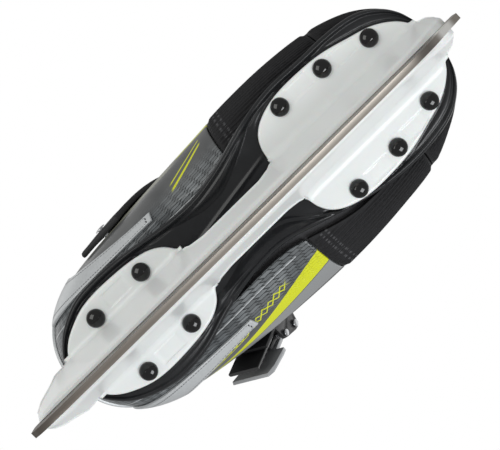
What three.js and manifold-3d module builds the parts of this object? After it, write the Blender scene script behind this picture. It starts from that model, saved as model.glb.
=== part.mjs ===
// A right-foot ice skate that stands upright on its steel, in millimetres.
// +X points to the toe, +Y to the inner side of the foot and +Z up.
// The origin is on the running edge of the steel, under the middle of its length.

import * as THREE from 'three';
import { mergeVertices } from 'three/addons/utils/BufferGeometryUtils.js';
import Module from 'manifold-3d';

const wasm = await Module();
wasm.setup();

// ---- Driving dimensions ----

const FIT = 0.3; // gap between pieces that rest on each other
const SOFT_GAP = 0.95; // gap between layers of the boot

const STEEL_LENGTH = 280;
const STEEL_T = 3.2;
const STEEL_TOP_Z = 32; // top edge of the steel inside the holder
const FLAT_LENGTH = 60; // flat middle of the running edge

const HOLDER_BASE_Z = 21; // lower lip of the holder along the steel
const HOLDER_BASE_HALF = 4.3;
const BRIDGE_TOP_Z = 38;
const WALL_SLOPE = 0.34; // how fast the holder's walls flare
const WALL_HALF_MAX = 12; // the holder's walls stay clear of the rivet heads
const TOWER_FLARE = 3.5; // round foot of the front tower under its flange
const FLANGE_T = 3;
const SOLE_Z = 52; // top of the front flange
const HEEL_LIFT = 7; // the rear flange stands this much higher
const REAR_SOLE_Z = SOLE_Z + HEEL_LIFT;
const RAMP_FRONT_X = 24; // the sole climbs between these two places
const RAMP_REAR_X = -30;

const POST_R = 2.5; // threaded posts that hold the steel
const POST_X = [79, -71];
const NUT_FLATS = 8;
const NUT_T = 4;
const WASHER_R = 5;
const WASHER_T = 1;
const NUT_RECESS_DEPTH = 6;

const RIVET_HEAD_R = 4.8;
const RIVET_HEAD_H = 3.3;
const RIVET_SHANK_R = 2;
const RIVET_TAIL_R = 3.4;
const RIVET_TAIL_T = 1.2;
// Places along the skate, then the distances to the inner and the outer side.
const FRONT_RIVETS = [[106, 21.5, 21.5], [79, 27, 27], [51, 28, 28]];
const REAR_RIVETS = [[-55, 18, 18], [-87, 20, 17.3]];

const OUTSOLE_T = 4;
const BOOT_BASE_Z = SOLE_Z + 2 * FIT + OUTSOLE_T; // underside of the upper at the front
const RAMP_PLAY = 0.15; // more room over the sole, where its ramp curves
const UPPER_T = 2;
const BOARD_T = 2;
const BOARD_INSET = 8;
const LINER_T = 4.3;
const LINER_FLOOR_T = 2;
const FOOTBED_T = 4;
const FOOTBED_INSET = 13;
const RIM_FULL = 22; // narrower than this, the sole's inset shrinks with the width
const OVERLAY_T = 1.4;
const OVERLAY_GAP = 0.4;
const TONGUE_T = 5;

// Places on the boot: s counts its sections from the toe, u goes once round a section.
const SEAM_S = 0.03; // gap between two panels along the boot
const TOE_CAP_END = 5;
const VAMP_END = 7.5;
const QUARTER_TOP = 14.4;
const FACING_TOP = 14;
const LINER_START = 3;
const LINER_TOP = 15.1;
const TONGUE_SPAN = [5.4, 15.9];
const TONGUE_HALF_U = 4.6 / 48;
const HEEL_COUNTER_SPAN = [11.2, 13.2];
const HEEL_COUNTER_U = 0.3;
const HEEL_TRIM_SPAN = [8.7, 11.12];
const TENDON_GUARD_SPAN = [13.3, 15.9];
const TENDON_GUARD_U = 0.38;
const LASTING_U = 0.4; // how far the upper wraps under the foot
const WAIST_LASTING_U = 0.432; // and at the narrow waist of the sole
const QUARTER_BANDS = 10;

const EYELET_R = 4.2;
const EYELET_BORE_R = 2.6;
const EYELET_BARREL_R = 3.1;
const LACE_R = 1.2;
const LACE_UNDER = -3.9; // depth of the lace under the facings
const LACE_OVER = 3.2; // height of the lace over the tongue
const LACE_ROWS = [6, 6.75, 7.5, 8.2, 11.8, 13];
const EYELET_U = 3.6 / 48;
const FACING_EDGE_U = 2 / 48;
const QUARTER_EDGE_U = 5.2 / 48;

const STRAP_S = 9.7; // the boot section that the strap follows
const STRAP_HALF = 14;
const STRAP_T = 3.5;
const STRAP_END_U = [-0.29, 0.102];
const STRAP_RIVET_U = STRAP_END_U[0] + 0.018;
const LADDER_HALF = 10;
const LADDER_T = 2;
const LADDER_TOOTH_H = 1.2;
const LADDER_PITCH = 4;
const BUCKLE_U = 0.205;
const BUCKLE_HALF = 13;
const BUCKLE_PLATE_T = 1.6;
const BUCKLE_FRONT = 20;
const BUCKLE_REAR = -22;
const BUCKLE_RIVET_X = 0;
const PLATE_Z = 1; // underside of the buckle's plate above the boot
const PLATE_TOP_Z = PLATE_Z + BUCKLE_PLATE_T;
const EAR_T = 1.8;
const LEVER_PIN = [8, 13.6]; // place in the buckle: along the strap, out of the boot
const PAWL_PIN = [-3, 10.1];
const PIN_R = 1.3;
const PIN_PLAY = 0.3;
const LEVER_LENGTH = 42;
const SPRING_WIRE_R = 0.4;
const SMALL_RIVET_R = 1.6;
const SMALL_RIVET_HEAD_R = 3.2;
const SMALL_RIVET_HEAD_T = 0.9;
const LADDER_Z = PLATE_TOP_Z + SMALL_RIVET_HEAD_T + 2 * FIT; // the ladder passes over the rivet

// Outline of the sole's rim: x, then the inner and the outer half widths.
const RIM = [
  [-117, 3, 3],
  [-115.5, 10, 10],
  [-111, 18, 17.5],
  [-103, 26, 24.5],
  [-90, 32, 30.5],
  [-76, 34.5, 32],
  [-58, 33, 31],
  [-36, 26.5, 27.5],
  [-14, 22.5, 26],
  [6, 22, 29],
  [30, 28.5, 35.5],
  [52, 35, 39],
  [74, 38.5, 38.5],
  [94, 38, 38],
  [110, 34.5, 35],
  [120, 28, 28.5],
  [126, 20, 20.5],
  [129, 11, 11],
  [130, 3, 3],
];

// Half widths of the two flanges of the blade holder.
const FRONT_FLANGE = [
  [28.5, 10],
  [30, 19],
  [34, 26],
  [42, 31],
  [54, 33.8],
  [70, 34],
  [84, 32.6],
  [98, 29],
  [112, 24.5],
  [122, 17.5],
  [128, 9],
];
const REAR_FLANGE = [
  [-113, 7],
  [-109, 15],
  [-100, 21.5],
  [-86, 26.2],
  [-66, 26.5],
  [-48, 24],
  [-39, 19.5],
  [-34, 13],
  [-32, 8],
];

// Side view of the holder's middle wall: x, lower edge, top edge, and the width share.
const HOLDER_WALL = [
  [-135, 19, 30, 0.75],
  [-131, 19.5, 33, 0.95],
  [-122, HOLDER_BASE_Z, 40, 1],
  [-114, HOLDER_BASE_Z, SOLE_Z - 1, 1],
  [-108, HOLDER_BASE_Z, REAR_SOLE_Z - 2, 1],
  [-48, HOLDER_BASE_Z, REAR_SOLE_Z - 2, 1],
  [-40, HOLDER_BASE_Z, REAR_SOLE_Z - 3, 1],
  [-34, HOLDER_BASE_Z, SOLE_Z - 3, 1],
  [-28, HOLDER_BASE_Z, BRIDGE_TOP_Z + 3, 1],
  [-20, HOLDER_BASE_Z, BRIDGE_TOP_Z, 1],
  [18, HOLDER_BASE_Z, BRIDGE_TOP_Z, 1],
  [25, HOLDER_BASE_Z, BRIDGE_TOP_Z + 3, 1],
  [31, HOLDER_BASE_Z, SOLE_Z - 4, 1],
  [36, HOLDER_BASE_Z, SOLE_Z - 2, 1],
  [108, HOLDER_BASE_Z, SOLE_Z - 2, 1],
  [118, 22.5, SOLE_Z - 2, 1],
  [127, 26, SOLE_Z - 3, 0.95],
  [132, 29, SOLE_Z - 6, 0.8],
  [134.5, 32, SOLE_Z - 10, 0.6],
];

// Boot sections from the toe, over the instep and up the leg. Each has the point on the
// top or front line and the point on the sole or back line (heights above BOOT_BASE_Z), the
// inner and outer half widths, and how square its upper and lower halves are (1 is round, less is squarer).
const SECTIONS = [
  { top: [131, 13.4], low: [131, 13.4], inner: 0, outer: 0, topRound: 1, lowRound: 1 },
  { top: [129.6, 22.4], low: [129.8, 4.4], inner: 11, outer: 11, topRound: 1, lowRound: 0.9 },
  { top: [126, 29.4], low: [126.5, -0.6], inner: 21.5, outer: 21.5, topRound: 0.95, lowRound: 0.75 },
  { top: [118, 36.4], low: [119, -2.6], inner: 31, outer: 31, topRound: 0.9, lowRound: 0.65 },
  { top: [105, 43.4], low: [107, -3.3], inner: 39.5, outer: 39, topRound: 0.88, lowRound: 0.6 },
  { top: [86, 49.4], low: [88, -3.3], inner: 48, outer: 45, topRound: 0.88, lowRound: 0.6 },
  { top: [62, 56.4], low: [62, -3.3], inner: 52, outer: 48, topRound: 0.9, lowRound: 0.65 },
  { top: [40, 64.4], low: [32, -2.6], inner: 54.5, outer: 48.5, topRound: 0.92, lowRound: 0.78 },
  { top: [22, 74.4], low: [-4, -0.6], inner: 55, outer: 47, topRound: 0.95, lowRound: 0.86 },
  { top: [8, 86.4], low: [-52, 1.4], inner: 53, outer: 45, topRound: 0.98, lowRound: 0.78 },
  { top: [0, 99.4], low: [-98, 0.9], inner: 47.5, outer: 42.5, topRound: 1, lowRound: 0.72 },
  { top: [-5, 113.4], low: [-118, 15.4], inner: 43.5, outer: 41, topRound: 1, lowRound: 0.85 },
  { top: [-8, 129.4], low: [-118, 49.4], inner: 41, outer: 40, topRound: 0.95, lowRound: 0.95 },
  { top: [-9, 146.4], low: [-111, 89.4], inner: 41.5, outer: 40.5, topRound: 0.95, lowRound: 0.95 },
  { top: [-7, 163.4], low: [-109, 128.4], inner: 42.5, outer: 41.5, topRound: 0.95, lowRound: 0.95 },
  { top: [-3, 179.4], low: [-113, 167.4], inner: 43.5, outer: 42.5, topRound: 0.95, lowRound: 0.95 },
  { top: [2, 195.4], low: [-115, 189.4], inner: 44, outer: 43, topRound: 0.95, lowRound: 0.95 },
];
const WIDEST_SHARE = 0.44; // where a section is widest, from its sole or back line
const SECTION_STEP = 0.5;

// Layers of the boot: distance of the outer and inner faces from the boot's outer surface,
// and how far they stay above the outsole.
const UPPER = { out: 0, in: -UPPER_T, outFloor: RAMP_PLAY, inFloor: UPPER_T + RAMP_PLAY };
const BOARD_FLOOR = UPPER_T + FIT;
const TAIL_FLOOR = BOARD_FLOOR + BOARD_T + FIT;
const LINER_FLOOR = TAIL_FLOOR + RIVET_TAIL_T + FIT;
const LINER_OUT = -UPPER_T - SOFT_GAP;
const LINER = {
  out: LINER_OUT,
  in: LINER_OUT - LINER_T,
  outFloor: LINER_FLOOR,
  inFloor: LINER_FLOOR + LINER_FLOOR_T,
};
const FOOTBED_FLOOR = LINER.inFloor + SOFT_GAP + FIT;
const TONGUE_OUT = LACE_UNDER - LACE_R - FIT;
const TONGUE = { out: TONGUE_OUT, in: TONGUE_OUT - TONGUE_T, outFloor: 0, inFloor: 0 };
const OVERLAY = { out: OVERLAY_GAP + OVERLAY_T, in: OVERLAY_GAP, outFloor: 0, inFloor: 0 };
const STRAP = { out: SOFT_GAP + STRAP_T, in: SOFT_GAP, outFloor: 0, inFloor: 0 };

// ---- Finishes ----

const finishes = {
  steel: { color: 0x8d8a84, roughness: 0.35, metalness: 1 },
  zinc: { color: 0xa9adb0, roughness: 0.4, metalness: 1 },
  whitePlastic: { color: 0xf1f3f1, roughness: 0.25, metalness: 0 },
  blackRivet: { color: 0x0c0c0d, roughness: 0.15, metalness: 0.3 },
  blackRubber: { color: 0x17181a, roughness: 0.5, metalness: 0 },
  carbon: { color: 0x3a3f43, roughness: 0.4, metalness: 0.1 },
  silver: { color: 0xc4c8ca, roughness: 0.35, metalness: 0.2 },
  blackFabric: { color: 0x141415, roughness: 0.85, metalness: 0 },
  greyFabric: { color: 0x4a4a4c, roughness: 0.9, metalness: 0 },
  fibreboard: { color: 0x6e5a44, roughness: 0.9, metalness: 0 },
  yellow: { color: 0xd8e020, roughness: 0.5, metalness: 0 },
};

function named(name, geometry, finish) {
  const mesh = new THREE.Mesh(geometry, new THREE.MeshStandardMaterial(finishes[finish]));
  mesh.name = name;
  return mesh;
}

// ---- Solids and their cuts ----

function solidOf(geometry) {
  const bare = geometry.clone();
  bare.deleteAttribute('normal');
  bare.deleteAttribute('uv');
  const merged = mergeVertices(bare, 1e-4);
  return new wasm.Manifold(new wasm.Mesh({
    numProp: 3,
    vertProperties: Float32Array.from(merged.attributes.position.array),
    triVerts: Uint32Array.from(merged.index.array),
  }));
}

function geometryOf(solid) {
  const mesh = solid.getMesh();
  const geometry = new THREE.BufferGeometry();
  geometry.setAttribute('position', new THREE.BufferAttribute(mesh.vertProperties, 3));
  geometry.setIndex(new THREE.BufferAttribute(mesh.triVerts, 1));
  return geometry;
}

function joined(geometries) {
  return geometryOf(geometries.map(solidOf).reduce((whole, piece) => whole.add(piece)));
}

function cut(geometry, tools) {
  return geometryOf(tools.map(solidOf).reduce((whole, tool) => whole.subtract(tool), solidOf(geometry)));
}

// A closed body from its triangles, turned so that its faces point out.
function closedBody(triangles) {
  const kept = triangles.filter(([a, b, c]) => {
    const across = new THREE.Vector3().subVectors(b, a);
    return across.cross(new THREE.Vector3().subVectors(c, a)).length() > 1e-9;
  });
  const volume = kept.reduce((sum, [a, b, c]) => sum + a.dot(b.clone().cross(c)), 0);
  const ordered = kept.flatMap(([a, b, c]) => (volume > 0 ? [a, b, c] : [a, c, b]));
  const geometry = new THREE.BufferGeometry().setFromPoints(ordered);
  return mergeVertices(geometry, 1e-5);
}

// A sheet with thickness: two grids of points, joined round their edges. A looped sheet
// meets itself across its columns, and one with a pole starts in a point.
function sheetBody(rows, columns, outerAt, innerAt, { loop = false, pole = false } = {}) {
  const outer = rows.map((row) => columns.map((column) => outerAt(row, column)));
  const inner = rows.map((row) => columns.map((column) => innerAt(row, column)));
  const triangles = [];
  const quad = (a, b, c, d) => triangles.push([a, b, c], [a, c, d]);
  const lastRow = rows.length - 1;
  const lastColumn = columns.length - 1;
  const bands = loop ? columns.length : lastColumn;
  for (let j = 0; j < bands; j += 1) {
    const k = (j + 1) % columns.length;
    for (let i = 0; i < lastRow; i += 1) {
      quad(outer[i][j], outer[i + 1][j], outer[i + 1][k], outer[i][k]);
      quad(inner[i][j], inner[i][k], inner[i + 1][k], inner[i + 1][j]);
    }
    if (!pole) {
      quad(outer[0][k], inner[0][k], inner[0][j], outer[0][j]);
    }
    quad(outer[lastRow][j], inner[lastRow][j], inner[lastRow][k], outer[lastRow][k]);
  }
  if (!loop) {
    for (let i = 0; i < lastRow; i += 1) {
      quad(outer[i][0], inner[i][0], inner[i + 1][0], outer[i + 1][0]);
      quad(outer[i][lastColumn], outer[i + 1][lastColumn], inner[i + 1][lastColumn], inner[i][lastColumn]);
    }
  }
  return closedBody(triangles);
}

// A body lofted through rings of points, closed at both ends.
function loftBody(rings) {
  const triangles = [];
  const count = rings[0].length;
  for (let i = 0; i + 1 < rings.length; i += 1) {
    for (let j = 0; j < count; j += 1) {
      const k = (j + 1) % count;
      triangles.push([rings[i][j], rings[i + 1][j], rings[i + 1][k]]);
      triangles.push([rings[i][j], rings[i + 1][k], rings[i][k]]);
    }
  }
  const last = rings[rings.length - 1];
  for (let j = 1; j + 1 < count; j += 1) {
    triangles.push([rings[0][0], rings[0][j], rings[0][j + 1]]);
    triangles.push([last[0], last[j + 1], last[j]]);
  }
  return closedBody(triangles);
}

function steps(from, to, step) {
  const count = Math.max(1, Math.round(Math.abs(to - from) / step));
  return Array.from({ length: count + 1 }, (_, i) => from + ((to - from) * i) / count);
}

// A smooth curve through rows of numbers; the first number of each row is where it stands.
function smoothRow(table, x) {
  const last = table.length - 1;
  const at = THREE.MathUtils.clamp(x, table[0][0], table[last][0]);
  let i = 0;
  while (i < last - 1 && table[i + 1][0] < at) {
    i += 1;
  }
  const [left, right] = [table[i], table[i + 1]];
  const before = table[Math.max(i - 1, 0)];
  const after = table[Math.min(i + 2, last)];
  const span = right[0] - left[0];
  const t = (at - left[0]) / span;
  return left.slice(1).map((value, index) => {
    const next = right[index + 1];
    const slopeLeft = ((next - before[index + 1]) / (right[0] - before[0])) * span;
    const slopeRight = ((after[index + 1] - value) / (after[0] - left[0])) * span;
    const rise = next - value;
    return value + t * (slopeLeft + t * (3 * rise - 2 * slopeLeft - slopeRight
      + t * (slopeLeft + slopeRight - 2 * rise)));
  });
}

// ---- Sole plane ----

function lift(x) {
  const t = THREE.MathUtils.clamp((RAMP_FRONT_X - x) / (RAMP_FRONT_X - RAMP_REAR_X), 0, 1);
  return HEEL_LIFT * t * t * (3 - 2 * t);
}

// Lowest level of the boot's upper at x.
function bootFloor(x) {
  return BOOT_BASE_Z + lift(x);
}

// Places along the sole, closer together at its round ends and on its ramp.
function soleStations(inset) {
  const low = RIM[0][0] + inset;
  const high = RIM[RIM.length - 1][0] - inset;
  const count = 30;
  return Array.from({ length: count + 1 }, (_, i) => {
    const swing = Math.sin(((i / count) * 2 - 1) * (Math.PI / 2));
    return (low + high) / 2 + ((high - low) / 2) * swing;
  });
}

// A layer of the sole: the rim's outline pulled in by inset, between two heights.
function soleLayer(inset, bottom, thickness) {
  const rimSpan = RIM[RIM.length - 1][0] - RIM[0][0];
  const middle = (RIM[RIM.length - 1][0] + RIM[0][0]) / 2;
  const stretch = rimSpan / (rimSpan - 2 * inset);
  const edge = (x, side) => {
    const [inner, outer] = smoothRow(RIM, middle + (x - middle) * stretch);
    const width = side > 0 ? inner : outer;
    return side * (width - inset * Math.min(1, width / RIM_FULL));
  };
  const at = (x, side, z) => new THREE.Vector3(x, edge(x, side), z + lift(x));
  return sheetBody(
    soleStations(inset),
    [1, -1],
    (x, side) => at(x, side, bottom + thickness),
    (x, side) => at(x, side, bottom),
  );
}

function rivetPlaces() {
  const both = (list, row) => list.flatMap(([x, inner, outer]) => [[x, inner, row], [x, -outer, row]]);
  return [...both(FRONT_RIVETS, 'front'), ...both(REAR_RIVETS, 'rear')];
}

function upright(radius, bottom, top, x, y, sides = 12) {
  const shaft = new THREE.CylinderGeometry(radius, radius, top - bottom, sides);
  shaft.rotateX(Math.PI / 2);
  shaft.translate(x, y, (top + bottom) / 2);
  return shaft;
}

function rivetHoles() {
  return rivetPlaces().map(([x, y]) => upright(RIVET_SHANK_R + FIT, SOLE_Z - 12, SOLE_Z + 28, x, y, 10));
}

// ---- Blade ----

function steelProfile() {
  const half = STEEL_LENGTH / 2;
  const shape = new THREE.Shape();
  shape.moveTo(-FLAT_LENGTH / 2, 0);
  shape.lineTo(FLAT_LENGTH / 2, 0);
  shape.splineThru([[62, 0.4], [92, 1.3], [108, 3], [120, 7.5], [129, 15.5], [half, 25]]
    .map(([x, z]) => new THREE.Vector2(x, z)));
  shape.lineTo(half, 36);
  shape.lineTo(half - 12, 37);
  shape.lineTo(half - 20, STEEL_TOP_Z);
  shape.lineTo(-half + 6, STEEL_TOP_Z);
  shape.lineTo(-half, 25);
  shape.lineTo(-half, 11);
  shape.splineThru([[-half + 5, 5.5], [-half + 14, 2.6], [-95, 1], [-62, 0.4], [-FLAT_LENGTH / 2, 0]]
    .map(([x, z]) => new THREE.Vector2(x, z)));
  return shape;
}

// A plate drawn in side view and given its thickness across the skate, about y = 0.
function sidePlate(shape, thickness, curveSegments = 3) {
  const plate = new THREE.ExtrudeGeometry(shape, { depth: thickness, bevelEnabled: false, curveSegments });
  plate.translate(0, 0, -thickness / 2);
  plate.rotateX(Math.PI / 2);
  return plate;
}

function flangeTop(x) {
  return x < 0 ? REAR_SOLE_Z : SOLE_Z;
}

function makeRunner() {
  const posts = POST_X.map((x) => upright(POST_R, STEEL_TOP_Z - 3, flangeTop(x) - 0.6, x, 0, 16));
  return named('runner', joined([sidePlate(steelProfile(), STEEL_T, 4), ...posts]), 'steel');
}

function holderWall() {
  const rings = HOLDER_WALL.map(([x, low, high, share]) => {
    const flared = HOLDER_BASE_HALF + WALL_SLOPE * (high - HOLDER_BASE_Z);
    const slope = (Math.min(flared, WALL_HALF_MAX) - HOLDER_BASE_HALF) / (high - HOLDER_BASE_Z);
    const half = (z) => share * (HOLDER_BASE_HALF + slope * (z - HOLDER_BASE_Z));
    const shoulder = high - Math.min(4, (high - low) / 3);
    const towered = x > 0 && high > BRIDGE_TOP_Z + 8;
    const rim = half(high) + (towered ? TOWER_FLARE : FIT) * share;
    const base = Math.max(half(low), STEEL_T / 2 + 1.6);
    const side = [[base, low], [half(shoulder), shoulder], [rim, high]];
    const otherSide = side.map(([y, z]) => [-y, z]).reverse();
    return [...side, ...otherSide].map(([y, z]) => new THREE.Vector3(x, y, z));
  });
  return loftBody(rings);
}

function flange(table, top) {
  const first = table[0][0];
  const last = table[table.length - 1][0];
  const count = 20;
  const places = Array.from({ length: count + 1 }, (_, i) => (
    (first + last) / 2 - ((last - first) / 2) * Math.cos((Math.PI * i) / count)));
  const at = (x, side, z) => new THREE.Vector3(x, side * smoothRow(table, x)[0], z);
  return sheetBody(
    places,
    [1, -1],
    (x, side) => at(x, side, top),
    (x, side) => at(x, side, top - FLANGE_T),
  );
}

function makeHolder() {
  const body = joined([
    holderWall(),
    flange(FRONT_FLANGE, SOLE_Z),
    flange(REAR_FLANGE, REAR_SOLE_Z),
  ]);
  const slot = sidePlate(slotProfile(), STEEL_T + 2 * FIT);
  const bores = POST_X.map((x) => upright(POST_R + FIT, 10, flangeTop(x) + 1, x, 0, 16));
  const recesses = POST_X.map((x) => (
    upright(WASHER_R + FIT, flangeTop(x) - NUT_RECESS_DEPTH, flangeTop(x) + 1, x, 0, 16)));
  return named('blade_holder', cut(body, [slot, ...bores, ...recesses, ...rivetHoles()]), 'whitePlastic');
}

// The room that the steel needs inside the holder.
function slotProfile() {
  const half = STEEL_LENGTH / 2 + 3;
  const shape = new THREE.Shape();
  shape.moveTo(-half, 5);
  shape.lineTo(half, 5);
  shape.lineTo(half, 38);
  shape.lineTo(half - 16, 38);
  shape.lineTo(half - 24, STEEL_TOP_Z + FIT);
  shape.lineTo(-half, STEEL_TOP_Z + FIT);
  shape.closePath();
  return shape;
}

function ring(outer, inner, thickness, sides, innerSides = 12) {
  const shape = new THREE.Shape();
  const circle = (path, radius, count, turn) => {
    for (let i = 0; i < count; i += 1) {
      const angle = ((turn * i) / count) * Math.PI * 2;
      const point = [radius * Math.cos(angle), radius * Math.sin(angle)];
      if (i === 0) {
        path.moveTo(...point);
      } else {
        path.lineTo(...point);
      }
    }
    path.closePath();
  };
  circle(shape, outer, sides, 1);
  const hole = new THREE.Path();
  circle(hole, inner, innerSides, -1);
  shape.holes.push(hole);
  return new THREE.ExtrudeGeometry(shape, { depth: thickness, bevelEnabled: false });
}

function runnerFasteners() {
  return POST_X.flatMap((x) => {
    const row = x > 0 ? 'front' : 'rear';
    const floor = flangeTop(x) - NUT_RECESS_DEPTH + FIT;
    const washer = named(`runner_washer_${row}`, ring(WASHER_R, POST_R + FIT, WASHER_T, 12), 'zinc');
    washer.position.set(x, 0, floor);
    const corner = NUT_FLATS / Math.sqrt(3);
    const nut = named(`runner_nut_${row}`, ring(corner, POST_R + FIT, NUT_T, 6), 'zinc');
    nut.position.set(x, 0, floor + WASHER_T + FIT);
    return [washer, nut];
  });
}

function soleRivets() {
  const tally = { front: 0, rear: 0 };
  return rivetPlaces().map(([x, y, row]) => {
    tally[row] += 1;
    const under = flangeTop(x) - FLANGE_T - FIT;
    const tail = bootFloor(x) + TAIL_FLOOR;
    const profile = [
      [0, under - RIVET_HEAD_H],
      [RIVET_HEAD_R * 0.6, under - RIVET_HEAD_H * 0.8],
      [RIVET_HEAD_R, under - RIVET_HEAD_H * 0.3],
      [RIVET_HEAD_R, under],
      [RIVET_SHANK_R, under],
      [RIVET_SHANK_R, tail],
      [RIVET_TAIL_R, tail],
      [RIVET_TAIL_R, tail + RIVET_TAIL_T],
      [0, tail + RIVET_TAIL_T],
    ].map(([r, z]) => new THREE.Vector2(r, z));
    const body = new THREE.LatheGeometry(profile, 10);
    body.rotateX(Math.PI / 2);
    const rivet = named(`${row}_rivet_${tally[row]}`, body, 'blackRivet');
    rivet.position.set(x, y, 0);
    return rivet;
  });
}

function soleStack() {
  const outsole = cut(soleLayer(0, SOLE_Z + FIT, OUTSOLE_T), rivetHoles());
  const board = cut(soleLayer(BOARD_INSET, BOOT_BASE_Z + BOARD_FLOOR, BOARD_T), rivetHoles());
  const footbed = soleLayer(FOOTBED_INSET, BOOT_BASE_Z + FOOTBED_FLOOR, FOOTBED_T);
  return [
    named('outsole', outsole, 'blackRubber'),
    named('insole_board', board, 'fibreboard'),
    named('footbed', footbed, 'greyFabric'),
  ];
}

// ---- Boot surface ----

const SECTION_TABLE = SECTIONS.map(({ top, low, inner, outer, topRound, lowRound }, i) => [
  i, top[0], BOOT_BASE_Z + top[1], low[0], BOOT_BASE_Z + low[1], inner, outer, topRound, lowRound,
]);

// The boot's outer surface. s counts the sections from the toe; u goes once round a section,
// from the top line through the inner side (0.25) and the sole or back line (0.5).
function bootSkin(s, u) {
  const [topX, topZ, lowX, lowZ, inner, outer, topRound, lowRound] = smoothRow(SECTION_TABLE, s);
  const c = Math.cos(2 * Math.PI * u);
  const d = Math.sin(2 * Math.PI * u);
  const round = c > 0 ? topRound : lowRound;
  const reach = Math.sign(c) * Math.abs(c) ** round;
  const along = WIDEST_SHARE + reach * (c > 0 ? 1 - WIDEST_SHARE : WIDEST_SHARE);
  const width = (d > 0 ? inner : outer) * Math.sign(d) * Math.abs(d) ** round;
  return new THREE.Vector3(lowX + (topX - lowX) * along, width, lowZ + (topZ - lowZ) * along);
}

function skinNormal(s, u) {
  if (s < 0.01) {
    return new THREE.Vector3(1, 0, 0);
  }
  const ds = 0.02;
  const du = 0.004;
  const alongS = bootSkin(s + ds, u).sub(bootSkin(s - ds, u));
  const alongU = bootSkin(s, u + du).sub(bootSkin(s, u - du));
  return alongU.cross(alongS).normalize();
}

function skinPoint(s, u, offset, floor) {
  const point = bootSkin(s, u).addScaledVector(skinNormal(s, u), offset);
  point.z = Math.max(point.z, bootFloor(point.x) + floor);
  return point;
}

function free(s, u, offset) {
  return bootSkin(s, u).addScaledVector(skinNormal(s, u), offset);
}

// The sections that a panel passes, the same for every layer.
function sectionRows(from, to) {
  const first = Math.floor(from / SECTION_STEP) + 1;
  const last = Math.ceil(to / SECTION_STEP) - 1;
  const between = Array.from({ length: last - first + 1 }, (_, i) => (first + i) * SECTION_STEP);
  return [from, ...between, to];
}

// A piece of the boot: a layer between two sections, with its columns from edgeFrom to edgeTo.
function bootPanel(layer, fromS, toS, edgeFrom, edgeTo, bands, options = {}) {
  const rows = sectionRows(fromS, toS);
  const shares = Array.from({ length: bands + 1 }, (_, i) => i / bands);
  const at = (s, share) => edgeFrom(s) + (edgeTo(s) - edgeFrom(s)) * share;
  return sheetBody(
    rows,
    shares,
    (s, share) => skinPoint(s, at(s, share), layer.out, layer.outFloor),
    (s, share) => skinPoint(s, at(s, share), layer.in, layer.inFloor),
    options,
  );
}

// The upper's lower edge: under the foot at the front, closed at the back round the heel.
function quarterLowEdge(s) {
  const wrapped = LASTING_U + (WAIST_LASTING_U - LASTING_U) * THREE.MathUtils.smoothstep(s, 6.5, 8);
  return wrapped + (0.4985 - wrapped) * THREE.MathUtils.smoothstep(s, 10, 11);
}

// One side of the upper between two sections, from the facing down to the sole.
function makeSidePanel(side, fromS, toS) {
  const edges = [() => side * QUARTER_EDGE_U, (s) => side * quarterLowEdge(s)];
  if (side < 0) {
    edges.reverse();
  }
  return bootPanel(UPPER, fromS, toS, ...edges, QUARTER_BANDS);
}

function makeVamp(side) {
  return makeSidePanel(side, TOE_CAP_END + SEAM_S, VAMP_END);
}

function makeQuarter(side) {
  return makeSidePanel(side, VAMP_END + SEAM_S, QUARTER_TOP);
}

function makeFacing(side) {
  const strip = bootPanel(
    UPPER,
    TOE_CAP_END + SEAM_S,
    FACING_TOP,
    () => side * FACING_EDGE_U,
    () => side * (QUARTER_EDGE_U - 0.0015),
    3,
  );
  const holes = LACE_ROWS.map((s) => skinShaft(s, side * EYELET_U, EYELET_BARREL_R + FIT, -6, 6, 8));
  return cut(strip, holes);
}

// Turns a body that stands on z = 0 so that it stands on the boot at (s, u).
function onSkin(geometry, s, u) {
  const normal = skinNormal(s, u);
  const place = bootSkin(s, u);
  const turn = new THREE.Quaternion().setFromUnitVectors(new THREE.Vector3(0, 0, 1), normal);
  geometry.applyQuaternion(turn);
  geometry.translate(place.x, place.y, place.z);
  return geometry;
}

function skinShaft(s, u, radius, from, to, sides) {
  return onSkin(upright(radius, from, to, 0, 0, sides), s, u);
}

function eyelets() {
  return LACE_ROWS.flatMap((s, row) => [1, -1].map((side) => {
    const top = FIT + 0.7;
    const profile = [
      [EYELET_BORE_R, -UPPER_T - 0.2],
      [EYELET_BARREL_R, -UPPER_T - 0.2],
      [EYELET_BARREL_R, FIT],
      [EYELET_R, FIT],
      [EYELET_R - 0.5, top],
      [EYELET_BORE_R, top],
      [EYELET_BORE_R, -UPPER_T - 0.2],
    ].map(([r, z]) => new THREE.Vector2(r, z));
    const body = new THREE.LatheGeometry(profile, 8);
    body.rotateX(Math.PI / 2);
    const name = `eyelet_${side > 0 ? 'inner' : 'outer'}_${row + 1}`;
    return named(name, onSkin(body, s, side * EYELET_U), 'zinc');
  }));
}

// A round bar swept through points, with mitred rings.
function sweep(points, radius, sides) {
  let side = null;
  const rings = points.map((point, i) => {
    const before = points[Math.max(i - 1, 0)];
    const after = points[Math.min(i + 1, points.length - 1)];
    const toHere = point.clone().sub(before).normalize();
    const fromHere = after.clone().sub(point).normalize();
    const along = toHere.add(fromHere).normalize();
    if (side === null) {
      side = new THREE.Vector3(0, 1, 0).cross(along);
      if (side.length() < 0.3) {
        side = new THREE.Vector3(1, 0, 0).cross(along);
      }
    }
    side.addScaledVector(along, -side.dot(along)).normalize();
    const across = along.clone().cross(side);
    return Array.from({ length: sides }, (_, j) => {
      const angle = (j / sides) * Math.PI * 2;
      return point.clone()
        .addScaledVector(side, radius * Math.cos(angle))
        .addScaledVector(across, radius * Math.sin(angle));
    });
  });
  return loftBody(rings);
}

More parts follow.
